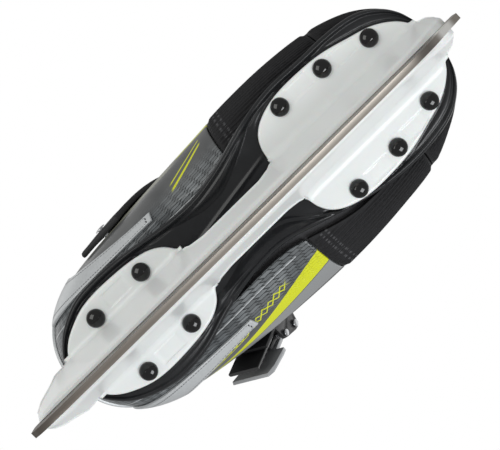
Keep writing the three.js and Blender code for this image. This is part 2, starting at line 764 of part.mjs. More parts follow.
// The lace climbs the boot like a ladder: over the tongue at each row, through the eyelet,
// and under the facing to the next row.
function makeLace() {
  const points = [free(LACE_ROWS[0] - 0.5, -EYELET_U, LACE_UNDER)];
  LACE_ROWS.forEach((s, row) => {
    const from = row % 2 === 0 ? -1 : 1;
    const hole = (side) => [
      free(s, side * EYELET_U, LACE_UNDER + 0.4),
      free(s, side * EYELET_U, 1.2),
    ];
    const crossing = [0.8, 0.4, 0, -0.4, -0.8]
      .map((share) => free(s, from * share * EYELET_U, LACE_OVER + (Math.abs(share) > 0.5 ? 0.2 : 0)));
    points.push(...hole(from), ...crossing, ...hole(-from).reverse());
    const next = LACE_ROWS[row + 1];
    if (next !== undefined) {
      const run = steps(s + 0.2, next - 0.2, 0.6);
      points.push(...run.map((place) => free(place, -from * EYELET_U, LACE_UNDER)));
    } else {
      points.push(free(s + 0.3, -from * EYELET_U, LACE_UNDER));
    }
  });
  return named('lace', sweep(points, LACE_R, 6), 'yellow');
}

function makeTongue() {
  return bootPanel(TONGUE, ...TONGUE_SPAN, () => -TONGUE_HALF_U, () => TONGUE_HALF_U, 4);
}

// The liner goes round the foot in one piece; its columns follow those of the quarters.
function makeLiner() {
  const edge = QUARTER_EDGE_U + 0.004;
  const half = QUARTER_BANDS + 1;
  const columns = Array.from({ length: 2 * half + 1 }, (_, i) => i - half);
  const at = (s, column) => {
    const share = (half - Math.abs(column)) / QUARTER_BANDS;
    const u = share > 1 ? 0.5 : edge + (quarterLowEdge(s) - edge) * share;
    return column > 0 ? 1 - u : u;
  };
  return sheetBody(
    sectionRows(LINER_START, LINER_TOP),
    columns,
    (s, column) => skinPoint(s, at(s, column), LINER.out, LINER.outFloor),
    (s, column) => skinPoint(s, at(s, column), LINER.in, LINER.inFloor),
  );
}

function makeToeCap() {
  return bootPanel(UPPER, 0, TOE_CAP_END, () => -LASTING_U, () => LASTING_U, 20, { pole: true });
}

function makeHeelCounter() {
  return bootPanel(OVERLAY, ...HEEL_COUNTER_SPAN, () => HEEL_COUNTER_U, () => 1 - HEEL_COUNTER_U, 10);
}

// A strip along the sole's rim, from the arch back to the heel counter.
function makeHeelTrim(side) {
  const [from, to] = HEEL_TRIM_SPAN;
  const grown = (s) => THREE.MathUtils.smoothstep(s, from, to);
  const upper = (s) => side * (0.37 - (0.37 - HEEL_COUNTER_U) * grown(s));
  const lower = () => side * (LASTING_U - 0.01);
  const edges = side > 0 ? [upper, lower] : [lower, upper];
  return bootPanel(OVERLAY, from, to, ...edges, 3);
}

function makeTendonGuard() {
  return bootPanel(OVERLAY, ...TENDON_GUARD_SPAN, () => TENDON_GUARD_U, () => 1 - TENDON_GUARD_U, 6);
}

// ---- Strap and ratchet buckle ----

// The strap keeps its width, though the boot's sections spread towards the heel.
function strapEdge(u, side, half) {
  const spread = bootSkin(STRAP_S + 0.05, u).distanceTo(bootSkin(STRAP_S - 0.05, u)) / 0.1;
  return STRAP_S + (side * half) / spread;
}

function makeStrapPad() {
  const [from, to] = STRAP_END_U;
  const body = sheetBody(
    steps(from, to, 1 / 48),
    [-1, 0, 1],
    (u, side) => free(strapEdge(u, side, STRAP_HALF), u, STRAP.out),
    (u, side) => free(strapEdge(u, side, STRAP_HALF), u, STRAP.in),
  );
  return cut(body, [skinShaft(STRAP_S, STRAP_RIVET_U, SMALL_RIVET_R + FIT, -4, 8, 10)]);
}

// The buckle's own axes: along the strap to the front, across it, and out of the boot.
function buckleAxes() {
  const out = skinNormal(STRAP_S, BUCKLE_U);
  const toFront = bootSkin(STRAP_S, BUCKLE_U - 0.01).sub(bootSkin(STRAP_S, BUCKLE_U));
  toFront.addScaledVector(out, -toFront.dot(out)).normalize();
  const across = out.clone().cross(toFront);
  return new THREE.Matrix4().makeBasis(toFront, across, out)
    .setPosition(bootSkin(STRAP_S, BUCKLE_U));
}

// A body drawn in the buckle's side view and centred across it.
function buckleBar(shape, from, to, curveSegments = 4) {
  const bar = new THREE.ExtrudeGeometry(shape, { depth: to - from, bevelEnabled: false, curveSegments });
  bar.rotateX(Math.PI / 2);
  bar.translate(0, to, 0);
  return bar;
}

function buckleBox(x0, x1, y0, y1, z0, z1) {
  const box = new THREE.BoxGeometry(x1 - x0, y1 - y0, z1 - z0);
  box.translate((x0 + x1) / 2, (y0 + y1) / 2, (z0 + z1) / 2);
  return box;
}

function crossShaft(radius, from, to, [x, z], sides = 12) {
  const shaft = new THREE.CylinderGeometry(radius, radius, to - from, sides);
  shaft.translate(x, (from + to) / 2, z);
  return shaft;
}

function makeBuckleBase() {
  const plate = buckleBox(BUCKLE_REAR, BUCKLE_FRONT, -BUCKLE_HALF, BUCKLE_HALF, PLATE_Z, PLATE_TOP_Z);
  const [pinX, pinZ] = LEVER_PIN;
  const [pawlX, pawlZ] = PAWL_PIN;
  const ear = new THREE.Shape();
  ear.moveTo(pawlX - 4.5, PLATE_TOP_Z - 0.4);
  ear.lineTo(pinX + 6, PLATE_TOP_Z - 0.4);
  ear.lineTo(pinX + 3.2, pinZ + 1.4);
  ear.lineTo(pinX + 1.2, pinZ + 3.2);
  ear.lineTo(pinX - 2, pinZ + 2.8);
  ear.lineTo(pawlX, pawlZ + 2.9);
  ear.lineTo(pawlX - 3, pawlZ + 1.4);
  ear.closePath();
  const ears = [1, -1].map((side) => {
    const ends = [side * (BUCKLE_HALF - EAR_T), side * BUCKLE_HALF].sort((a, b) => a - b);
    return buckleBar(ear, ...ends);
  });
  const bores = [LEVER_PIN, PAWL_PIN]
    .map((place) => crossShaft(PIN_R + PIN_PLAY, -BUCKLE_HALF - 2, BUCKLE_HALF + 2, place));
  const rivetHole = upright(SMALL_RIVET_R + FIT, -4, 8, BUCKLE_RIVET_X, 0, 10);
  return cut(joined([plate, ...ears]), [...bores, rivetHole]);
}

function makeLever() {
  const [pinX, pinZ] = LEVER_PIN;
  const handle = new THREE.Shape();
  handle.moveTo(pinX + 2.6, pinZ);
  handle.lineTo(pinX + 1.6, pinZ + 2.2);
  handle.lineTo(pinX - 2, pinZ + 2.6);
  handle.lineTo(pinX - 22, pinZ + 2.6);
  handle.lineTo(pinX - LEVER_LENGTH + 6, pinZ + 1);
  handle.lineTo(pinX - LEVER_LENGTH, pinZ - 1.5);
  handle.lineTo(pinX - LEVER_LENGTH + 1, pinZ - 3.2);
  handle.lineTo(pinX - LEVER_LENGTH + 9, pinZ - 1.2);
  handle.lineTo(pinX - 21, pinZ + 0.2);
  handle.lineTo(pinX - 3, pinZ + 0.2);
  handle.lineTo(pinX - 1.8, pinZ - 2.2);
  handle.lineTo(pinX + 1.4, pinZ - 2.6);
  handle.closePath();
  const hubHalf = 6.6;
  const narrow = buckleBar(handle, -hubHalf, hubHalf);
  const wide = cut(buckleBar(handle, -BUCKLE_HALF + 1, BUCKLE_HALF - 1), [
    buckleBox(PAWL_PIN[0] - 7, 40, -40, 40, -20, 40),
  ]);
  return cut(joined([narrow, wide]), [
    crossShaft(PIN_R + PIN_PLAY, -20, 20, LEVER_PIN),
  ]);
}

function makePawl() {
  const [pinX, pinZ] = PAWL_PIN;
  const arm = new THREE.Shape();
  arm.moveTo(pinX + 2, pinZ + 0.4);
  arm.lineTo(pinX + 0.6, pinZ + 2.1);
  arm.lineTo(pinX - 2, pinZ + 1.6);
  arm.lineTo(pinX - 10, pinZ + 1);
  arm.lineTo(pinX - 10.4, pinZ - 0.4);
  arm.lineTo(pinX - 2.4, pinZ - 0.6);
  arm.lineTo(pinX + 1, pinZ - 2);
  arm.closePath();
  const half = 6.6;
  return cut(buckleBar(arm, -half, half), [crossShaft(PIN_R + 0.1, -20, 20, PAWL_PIN, 12)]);
}

function headedPin(place, radius) {
  const half = BUCKLE_HALF + FIT;
  return joined([
    crossShaft(radius, -half - 0.5, half + 0.5, place),
    crossShaft(radius + 0.9, half, half + 0.9, place),
    crossShaft(radius + 0.9, -half - 0.9, -half, place),
  ]);
}

// A torsion spring: a few turns of wire round a pin.
function coil(place, radius, from, turns) {
  const perTurn = 10;
  const pitch = 2 * SPRING_WIRE_R + 0.25;
  const points = Array.from({ length: Math.round(turns * perTurn) + 1 }, (_, i) => {
    const angle = (i / perTurn) * Math.PI * 2;
    const y = from + SPRING_WIRE_R + (i / perTurn) * pitch;
    return new THREE.Vector3(place[0] + radius * Math.cos(angle), y, place[1] + radius * Math.sin(angle));
  });
  return sweep(points, SPRING_WIRE_R, 5);
}

// The ladder strap lies on the pad at the front and runs straight through the buckle.
function makeLadder(axes) {
  const straight = [];
  const tailX = BUCKLE_REAR - 12;
  for (let x = tailX; x <= BUCKLE_FRONT + 2; x += LADDER_PITCH / 2) {
    const tooth = Math.round((x - tailX) / (LADDER_PITCH / 2)) % 2 === 1;
    straight.push({ x, bottom: LADDER_Z, top: LADDER_Z + LADDER_T + (tooth ? LADDER_TOOTH_H : 0) });
  }
  const rows = straight.map(({ x, bottom, top }) => ({
    low: (y) => new THREE.Vector3(x, y, bottom).applyMatrix4(axes),
    high: (y) => new THREE.Vector3(x, y, top).applyMatrix4(axes),
  }));
  const rest = STRAP.out + SOFT_GAP - FIT;
  const edge = (u, y) => strapEdge(u, -y / LADDER_HALF, LADDER_HALF);
  const onPad = steps(STRAP_END_U[1] + 0.012, 0.045, 1 / 48).map((u) => ({
    low: (y) => free(edge(u, y), u, rest),
    high: (y) => free(edge(u, y), u, rest + LADDER_T),
  }));
  return sheetBody(
    [...rows, ...onPad],
    [-LADDER_HALF, LADDER_HALF],
    (row, y) => row.high(y),
    (row, y) => row.low(y),
  );
}

function smallRivet(under, length) {
  const profile = [
    [0, under + SMALL_RIVET_HEAD_T],
    [SMALL_RIVET_HEAD_R * 0.7, under + SMALL_RIVET_HEAD_T * 0.8],
    [SMALL_RIVET_HEAD_R, under],
    [SMALL_RIVET_R, under],
    [SMALL_RIVET_R, under - length],
    [0, under - length],
  ].map(([r, z]) => new THREE.Vector2(r, z)).reverse();
  const body = new THREE.LatheGeometry(profile, 12);
  body.rotateX(Math.PI / 2);
  return body;
}

function buckleGroup() {
  const axes = buckleAxes();
  const group = new THREE.Group();
  group.applyMatrix4(axes);
  const springFrom = 7;
  group.add(
    named('buckle_base', makeBuckleBase(), 'silver'),
    named('buckle_lever', makeLever(), 'silver'),
    named('lever_pin', headedPin(LEVER_PIN, PIN_R), 'zinc'),
    named('lever_spring', coil(LEVER_PIN, PIN_R + 1, springFrom, 3), 'steel'),
    named('release_pawl', makePawl(), 'blackRubber'),
    named('pawl_pin', headedPin(PAWL_PIN, PIN_R - 0.2), 'zinc'),
    named('pawl_spring', coil(PAWL_PIN, PIN_R + 0.6, springFrom, 3), 'steel'),
    named('buckle_rivet', smallRivet(PLATE_TOP_Z + FIT, UPPER_T + PLATE_TOP_Z), 'zinc'),
  );
  return group;
}

// ---- Assembly ----

function makeSkate() {
  const skate = new THREE.Group();
  skate.add(makeRunner(), makeHolder(), ...runnerFasteners(), ...soleRivets(), ...soleStack());
  const axes = buckleAxes();
  const buckleHole = upright(SMALL_RIVET_R + FIT, -4, 8, BUCKLE_RIVET_X, 0, 10).applyMatrix4(axes);
  const strapHole = skinShaft(STRAP_S, STRAP_RIVET_U, SMALL_RIVET_R + FIT, -4, 8, 10);
  const strapRivet = onSkin(smallRivet(STRAP.out + FIT, STRAP.out + FIT + UPPER_T), STRAP_S, STRAP_RIVET_U);
  skate.add(
    named('toe_cap', makeToeCap(), 'blackFabric'),
    named('vamp_inner', makeVamp(1), 'blackFabric'),
    named('vamp_outer', makeVamp(-1), 'blackFabric'),
    named('quarter_inner', cut(makeQuarter(1), [buckleHole]), 'carbon'),
    named('quarter_outer', cut(makeQuarter(-1), [strapHole]), 'carbon'),
    named('facing_inner', makeFacing(1), 'blackRubber'),
    named('facing_outer', makeFacing(-1), 'blackRubber'),
    named('heel_counter', makeHeelCounter(), 'silver'),
    named('heel_trim_inner', makeHeelTrim(1), 'silver'),
    named('heel_trim_outer', makeHeelTrim(-1), 'silver'),
    named('tendon_guard', makeTendonGuard(), 'blackRubber'),
    named('liner', makeLiner(), 'greyFabric'),
    named('tongue', makeTongue(), 'greyFabric'),
    ...eyelets(),
    makeLace(),
    named('strap_pad', makeStrapPad(), 'blackFabric'),
    named('ladder_strap', makeLadder(axes), 'yellow'),
    named('strap_rivet', strapRivet, 'zinc'),
    buckleGroup(),
  );
  return skate;
}

export default makeSkate();
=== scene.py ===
"""The looks of a right-foot ice skate: white blade holder, ground steel and a soft-shell boot.

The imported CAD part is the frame. Each sub-assembly is a class that holds its own sizes in
millimetres and builds its finished pieces in the frame's axes: +X toe, +Y inner side, +Z up.
"""

import logging
import math
from dataclasses import dataclass
from enum import Enum
from typing import Callable, Optional, Sequence, Union

import bmesh
import bpy
import numpy as np
from mathutils import Matrix, Vector


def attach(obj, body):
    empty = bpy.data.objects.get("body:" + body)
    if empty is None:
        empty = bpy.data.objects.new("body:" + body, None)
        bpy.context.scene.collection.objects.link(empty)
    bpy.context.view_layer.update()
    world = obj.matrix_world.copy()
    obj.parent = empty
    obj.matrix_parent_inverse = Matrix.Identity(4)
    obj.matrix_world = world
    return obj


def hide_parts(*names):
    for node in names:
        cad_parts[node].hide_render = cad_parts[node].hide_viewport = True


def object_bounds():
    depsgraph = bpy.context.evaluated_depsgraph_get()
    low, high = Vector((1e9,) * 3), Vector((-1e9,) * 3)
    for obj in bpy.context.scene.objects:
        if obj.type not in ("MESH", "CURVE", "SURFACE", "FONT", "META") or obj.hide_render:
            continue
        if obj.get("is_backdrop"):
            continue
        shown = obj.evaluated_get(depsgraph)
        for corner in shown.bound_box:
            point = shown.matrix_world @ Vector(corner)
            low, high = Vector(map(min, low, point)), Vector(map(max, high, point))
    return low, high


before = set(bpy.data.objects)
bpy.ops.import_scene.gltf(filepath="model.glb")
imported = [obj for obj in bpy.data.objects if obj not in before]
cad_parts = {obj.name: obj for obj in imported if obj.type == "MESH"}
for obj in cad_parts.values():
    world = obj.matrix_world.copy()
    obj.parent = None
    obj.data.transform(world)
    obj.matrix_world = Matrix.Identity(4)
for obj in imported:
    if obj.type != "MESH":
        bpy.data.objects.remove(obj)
CAD_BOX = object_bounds()
LOG = logging.getLogger("ice_skate")
MM = 0.001

Array = np.ndarray
Number = Union[int, float]


class Side(Enum):
    """The two sides of the boot."""

    INNER = 1
    OUTER = -1

    @property
    def word(self) -> str:
        """The word used for this side in the CAD node names."""
        return "inner" if self is Side.INNER else "outer"


# ---------------------------------------------------------------- shader graphs


class Wire:
    """One output socket of a shader graph, with ordinary arithmetic on it."""

    def __init__(self, graph: "Graph", socket: bpy.types.NodeSocket) -> None:
        """Keeps the socket and the graph that it belongs to."""
        self.graph = graph
        self.socket = socket

    def _math(self, operation: str, first: "Value", second: "Value" = 0.0, third: "Value" = 0.0) -> "Wire":
        return self.graph.node("ShaderNodeMath", {"operation": operation}, {0: first, 1: second, 2: third})

    def __add__(self, other: "Value") -> "Wire":
        return self._math("ADD", self, other)

    def __radd__(self, other: "Value") -> "Wire":
        return self._math("ADD", other, self)

    def __sub__(self, other: "Value") -> "Wire":
        return self._math("SUBTRACT", self, other)

    def __rsub__(self, other: "Value") -> "Wire":
        return self._math("SUBTRACT", other, self)

    def __mul__(self, other: "Value") -> "Wire":
        return self._math("MULTIPLY", self, other)

    def __rmul__(self, other: "Value") -> "Wire":
        return self._math("MULTIPLY", other, self)

    def __truediv__(self, other: "Value") -> "Wire":
        return self._math("DIVIDE", self, other)

    def __neg__(self) -> "Wire":
        return self._math("MULTIPLY", self, -1.0)

    def above(self, limit: "Value") -> "Wire":
        """1 where the value is above the limit, else 0."""
        return self._math("GREATER_THAN", self, limit)

    def below(self, limit: "Value") -> "Wire":
        """1 where the value is below the limit, else 0."""
        return self._math("LESS_THAN", self, limit)

    def most(self, other: "Value") -> "Wire":
        """The larger of the two values."""
        return self._math("MAXIMUM", self, other)

    def size(self) -> "Wire":
        """The value without its sign."""
        return self._math("ABSOLUTE", self)

    def sine(self) -> "Wire":
        """The sine of the value."""
        return self._math("SINE", self)

    def zigzag(self, height: "Value") -> "Wire":
        """A triangle wave of the value between 0 and the height."""
        return self._math("PINGPONG", self, height)

    def ramp(self, low: Number, high: Number) -> "Wire":
        """The value turned to a smooth 0 to 1 between two limits, which may be given downwards."""
        start, end, values = (low, high, (0.0, 1.0)) if low < high else (high, low, (1.0, 0.0))
        return self.graph.node(
            "ShaderNodeMapRange",
            {"interpolation_type": "SMOOTHSTEP"},
            {"Value": self, "From Min": start, "From Max": end, "To Min": values[0], "To Max": values[1]},
        )

    def within(self, low: Number, high: Number, soft: Number) -> "Wire":
        """1 between the two limits and 0 outside them, with soft edges."""
        return self.ramp(low - soft, low + soft) * self.ramp(high + soft, high - soft)


Value = Union[Wire, Number]
Colour = tuple[float, float, float]
Paint = Union[Wire, Colour]


def rgba(colour: Colour) -> tuple[float, float, float, float]:
    """The colour with full opacity."""
    return (*colour, 1.0)


class Graph:
    """A material's node graph."""

    def __init__(self, name: str) -> None:
        """Starts an empty graph with its output and one principled surface."""
        self.material = bpy.data.materials.new(name)
        self.material.use_nodes = True
        self.tree = self.material.node_tree
        self.tree.nodes.clear()
        self.output = self.tree.nodes.new("ShaderNodeOutputMaterial")
        self.surface = self.tree.nodes.new("ShaderNodeBsdfPrincipled")
        self.tree.links.new(self.surface.outputs[0], self.output.inputs["Surface"])
        self.points = self.node("ShaderNodeTexCoord", output="Object")
        x, y, z = self.split(self.points)
        self.x, self.y, self.z = x * 1000.0, y * 1000.0, z * 1000.0

    def put(self, socket: bpy.types.NodeSocket, value: Union[Value, Paint]) -> None:
        """Links a wire to the socket, or sets it to a plain value."""
        if isinstance(value, Wire):
            self.tree.links.new(value.socket, socket)
        elif socket.type == "RGBA":
            socket.default_value = rgba(value)
        else:
            socket.default_value = value

    def node(
        self,
        kind: str,
        settings: Optional[dict] = None,
        sockets: Optional[dict] = None,
        output: Union[int, str] = 0,
    ) -> Wire:
        """Adds a node.

        Args:
            kind: the node's type name.
            settings: the node's own settings, made before its sockets are used.
            sockets: values or wires for its inputs, by name or number.
            output: the output to return.

        Returns:
            The wire from that output.
        """
        made = self.tree.nodes.new(kind)
        for key, value in (settings or {}).items():
            setattr(made, key, value)
        for key, value in (sockets or {}).items():
            self.put(made.inputs[key], value)
        return Wire(self, made.outputs[output])

    def split(self, vector: Wire) -> tuple[Wire, Wire, Wire]:
        """The three parts of a vector."""
        made = self.node("ShaderNodeSeparateXYZ", sockets={0: vector})
        return tuple(Wire(self, made.socket.node.outputs[i]) for i in range(3))

    def join(self, x: Value, y: Value, z: Value = 0.0) -> Wire:
        """A vector from three values."""
        return self.node("ShaderNodeCombineXYZ", sockets={0: x, 1: y, 2: z})

    def attribute(self, name: str) -> Wire:
        """A value stored on the piece's points."""
        return self.node("ShaderNodeAttribute", {"attribute_name": name}, output="Fac")

    def noise(self, vector: Wire, scale: Number, detail: Number = 3.0, roughness: Number = 0.5) -> Wire:
        """Smooth noise between 0 and 1."""
        return self.node(
            "ShaderNodeTexNoise",
            sockets={"Vector": vector, "Scale": scale, "Detail": detail, "Roughness": roughness},
        )

    def mix(self, share: Value, first: Paint, second: Paint) -> Wire:
        """A colour between two colours."""
        return self.node("ShaderNodeMix", {"data_type": "RGBA"}, {0: share, 6: first, 7: second}, 2)

    def bump(self, height: Wire, distance: Number) -> Wire:
        """A normal that follows a height, in millimetres of relief for each unit of height."""
        sockets = {"Height": height, "Distance": distance * MM, "Strength": 1.0}
        return self.node("ShaderNodeBump", sockets=sockets)

    def set(self, **values: Union[Value, Paint]) -> None:
        """Sets inputs of the principled surface; underscores stand for spaces."""
        for key, value in values.items():
            self.put(self.surface.inputs[key.replace("_", " ")], value)


@dataclass(frozen=True)
class Finish:
    """A plain coloured finish with fine noise in its gloss and relief."""

    name: str
    slot: str
    colour: Colour
    roughness: float
    metallic: float = 0.0
    grain: float = 0.15
    grain_scale: float = 900.0
    relief: float = 0.02
    coat: float = 0.0
    translucence: float = 0.0

    def material(self) -> bpy.types.Material:
        """Builds the material."""
        graph = Graph(self.name)
        noise = graph.noise(graph.points, self.grain_scale)
        broad = graph.noise(graph.points, self.grain_scale / 12.0)
        darker = tuple(channel * (1.0 - self.grain) for channel in self.colour)
        graph.set(
            Base_Color=graph.mix(broad * 0.6 + noise * 0.4, darker, self.colour),
            Roughness=self.roughness * (0.85 + noise * 0.3),
            Metallic=self.metallic,
            Coat_Weight=self.coat,
            Normal=graph.bump(noise, self.relief),
        )
        if self.translucence:
            graph.set(Subsurface_Weight=self.translucence, Subsurface_Scale=2.0 * MM)
        return graph.material


# ---------------------------------------------------------------- meshes


def lies(table: Array, x: Array, smooth: bool = True) -> Array:
    """Rows of numbers between the rows of a table.

    Args:
        table: rows whose first number is where they stand.
        x: places to look up.
        smooth: True for a smooth curve through the rows, False for straight lines.

    Returns:
        One row for each place, without the first column.
    """
    table = np.asarray(table, float)
    places = table[:, 0]
    x = np.clip(np.asarray(x, float), places[0], places[-1])
    if not smooth:
        return np.stack([np.interp(x, places, column) for column in table.T[1:]], -1)
    last = len(table) - 1
    i = np.clip(np.searchsorted(places, x, side="left") - 1, 0, last - 1)
    before, after = np.maximum(i - 1, 0), np.minimum(i + 2, last)
    left, right = table[i], table[i + 1]
    span = (right[..., 0] - left[..., 0])[..., None]
    t = (x - left[..., 0])[..., None] / span
    v0, v1 = left[..., 1:], right[..., 1:]
    slope0 = (v1 - table[before][..., 1:]) / (right[..., 0] - places[before])[..., None] * span
    slope1 = (table[after][..., 1:] - v0) / (places[after] - left[..., 0])[..., None] * span
    rise = v1 - v0
    return v0 + t * (slope0 + t * (3 * rise - 2 * slope0 - slope1 + t * (slope0 + slope1 - 2 * rise)))


def smoothstep(x: Array, low: float, high: float) -> Array:
    """0 below low, 1 above high and a smooth climb between them."""
    t = np.clip((np.asarray(x, float) - low) / (high - low), 0, 1)
    return t * t * (3 - 2 * t)


def bell(x: Array, middle: Union[float, Array], width: float) -> Array:
    """A round bump of height 1 about the middle."""
    return np.exp(-(((np.asarray(x, float) - middle) / width) ** 2))


@dataclass
class Solid:
    """Points in millimetres with the faces between them."""

    points: Array
    faces: list
    values: dict

    @staticmethod
    def of(points: Array, faces: list, **values: Array) -> "Solid":
        """A solid from its points, its faces and values stored on the points."""
        return Solid(np.asarray(points, float).reshape(-1, 3), faces, values)

    @staticmethod
    def joined(solids: Sequence["Solid"]) -> "Solid":
        """Several closed solids as one."""
        faces, start = [], 0
        for solid in solids:
            faces += [tuple(i + start for i in face) for face in solid.faces]
            start += len(solid.points)
        names = set().union(*(solid.values for solid in solids))
        values = {
            name: np.concatenate([solid.values.get(name, np.zeros(len(solid.points))) for solid in solids])
            for name in names
        }
        return Solid(np.concatenate([solid.points for solid in solids]), faces, values)

    def moved(self, turn: Array, place: Sequence[float] = (0, 0, 0)) -> "Solid":
        """The solid turned by a 3 by 3 matrix, then moved."""
        points = self.points @ np.asarray(turn, float).T + np.asarray(place, float)
        return Solid(points, self.faces, self.values)


def grid_faces(rows: int, columns: int, start: int = 0, loop: bool = False, flip: bool = False) -> list:
    """Faces of a grid of points stored row by row."""
    faces = []
    bands = columns if loop else columns - 1
    for i in range(rows - 1):
        for j in range(bands):
            k = (j + 1) % columns
            face = (
                start + i * columns + j,
                start + (i + 1) * columns + j,
                start + (i + 1) * columns + k,
                start + i * columns + k,
            )
            faces.append(face[::-1] if flip else face)
    return faces


def grid_border(rows: int, columns: int) -> list:
    """The points round the edge of a grid, in order."""
    bottom = list(range(columns))
    right = [i * columns + columns - 1 for i in range(1, rows)]
    top = [(rows - 1) * columns + j for j in range(columns - 2, -1, -1)]
    left = [i * columns for i in range(rows - 2, 0, -1)]
    return bottom + right + top + left


def layered(outer: Array, inner: Array, **values: Array) -> Solid:
    """A closed sheet between two grids of points, with the values stored on both layers."""
    rows, columns = outer.shape[:2]
    count = rows * columns
    faces = grid_faces(rows, columns) + grid_faces(rows, columns, start=count, flip=True)
    border = grid_border(rows, columns)
    faces += [(a, b, b + count, a + count) for a, b in zip(border, border[1:] + border[:1])]
    stored = {name: np.tile(np.broadcast_to(v, (rows, columns)).reshape(-1), 2) for name, v in values.items()}
    return Solid.of(np.concatenate([outer.reshape(-1, 3), inner.reshape(-1, 3)]), faces, **stored)


def loft(rings: Array, closed: bool = True, **values: Array) -> Solid:
    """A body through rings of points, capped at both ends unless it closes on itself."""
    rings = np.asarray(rings, float)
    rows, count = rings.shape[:2]
    faces = grid_faces(rows, count, loop=True)
    if closed:
        faces.append(tuple(range(count)))
        faces.append(tuple((rows - 1) * count + j for j in reversed(range(count))))
    return Solid.of(rings, faces, **{name: np.asarray(v, float).reshape(-1) for name, v in values.items()})


def turned(profile: Sequence[Sequence[float]], sides: int = 48) -> Solid:
    """A body turned about the Z axis from a profile of radius and height, from axis to axis."""
    profile = np.asarray(profile, float)
    angles = np.linspace(0, 2 * math.pi, sides, endpoint=False)
    inside = profile[1:-1]
    heights = np.repeat(inside[:, 1:], sides, 1)
    rings = np.stack([inside[:, :1] * np.cos(angles), inside[:, :1] * np.sin(angles), heights], -1)
    count = len(inside)
    points = np.concatenate([rings.reshape(-1, 3), [[0, 0, profile[0][1]], [0, 0, profile[-1][1]]]])
    faces = grid_faces(count, sides, loop=True)
    for j in range(sides):
        k = (j + 1) % sides
        faces.append((count * sides, j, k))
        faces.append((count * sides + 1, (count - 1) * sides + k, (count - 1) * sides + j))
    return Solid.of(points, faces)


def tube(path: Array, radius: Union[float, Array], sides: int = 16) -> Solid:
    """A round bar along a path, with a value for the distance along it."""
    path = np.asarray(path, float)
    along = np.gradient(path, axis=0)
    along /= np.linalg.norm(along, axis=1)[:, None]
    side = np.cross([0, 1, 0], along[0])
    if np.linalg.norm(side) < 0.3:
        side = np.cross([1, 0, 0], along[0])
    sides_at = []
    for direction in along:
        side = side - direction * side.dot(direction)
        side = side / np.linalg.norm(side)
        sides_at.append(side)
    sides_at = np.array(sides_at)
    across = np.cross(along, sides_at)
    angles = np.linspace(0, 2 * math.pi, sides, endpoint=False)
    radius = np.broadcast_to(np.asarray(radius, float), len(path))[:, None, None]
    rings = path[:, None] + radius * (
        sides_at[:, None] * np.cos(angles)[None, :, None] + across[:, None] * np.sin(angles)[None, :, None]
    )
    length = np.concatenate([[0], np.cumsum(np.linalg.norm(np.diff(path, axis=0), axis=1))])
    return loft(
        rings,
        along=np.repeat(length[:, None], sides, 1),
        around=np.repeat(angles[None], len(path), 0),
    )


def smooth_path(points: Array, step: float) -> Array:
    """Points at even steps on a smooth curve through the given points."""
    points = np.asarray(points, float)
    length = np.concatenate([[0], np.cumsum(np.linalg.norm(np.diff(points, axis=0), axis=1))])
    places = np.linspace(0, length[-1], max(2, int(length[-1] / step)))
    return lies(np.column_stack([length, points]), places)


def linked(name: str, data: bpy.types.ID) -> bpy.types.Object:
    """A new object linked to the scene."""
    made = bpy.data.objects.new(name, data)
    bpy.context.scene.collection.objects.link(made)
    return made


def baked_mesh(piece: bpy.types.Object) -> bpy.types.Mesh:
    """The piece's mesh as its modifiers leave it."""
    bpy.context.view_layer.update()
    return bpy.data.meshes.new_from_object(piece.evaluated_get(bpy.context.evaluated_depsgraph_get()))


def register(piece: bpy.types.Object, replaces: Sequence[str], body: str) -> bpy.types.Object:
    """Sets a finished piece's body and hides the CAD nodes it stands for."""
    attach(piece, body)
    if replaces:
        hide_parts(*replaces)
    LOG.info("%s: %d faces", piece.name, len(piece.data.polygons))
    return piece


def make_object(
    name: str, solid: Solid, material: bpy.types.Material, sharp: float = 40.0
) -> bpy.types.Object:
    """A mesh object at the origin from a solid.

    Args:
        name: the object's name.
        solid: the closed body, in millimetres.
        material: its finish.
        sharp: edges that turn by more than this many degrees are shaded sharp.

    Returns:
        The new object, linked to the scene.
    """
    mesh = bpy.data.meshes.new(name)
    mesh.from_pydata((solid.points * MM).tolist(), [], solid.faces)
    for key, value in solid.values.items():
        layer = mesh.attributes.new(key, "FLOAT", "POINT")
        layer.data.foreach_set("value", np.asarray(value, np.float32))
    work = bmesh.new()
    work.from_mesh(mesh)
    bmesh.ops.remove_doubles(work, verts=work.verts, dist=1e-6)
    bmesh.ops.recalc_face_normals(work, faces=work.faces)
    work.to_mesh(mesh)
    work.free()
    mesh.materials.append(material)
    mesh.shade_smooth()
    mesh.set_sharp_from_angle(angle=math.radians(sharp))
    return linked(name, mesh)


def add(
    name: str,
    solid: Solid,
    material: bpy.types.Material,
    replaces: Sequence[str] = (),
    body: str = "boot",
    sharp: float = 40.0,
) -> bpy.types.Object:
    """Makes a finished piece from a solid and registers it."""
    return register(make_object(name, solid, material, sharp), replaces, body)


# ---------------------------------------------------------------- repeats


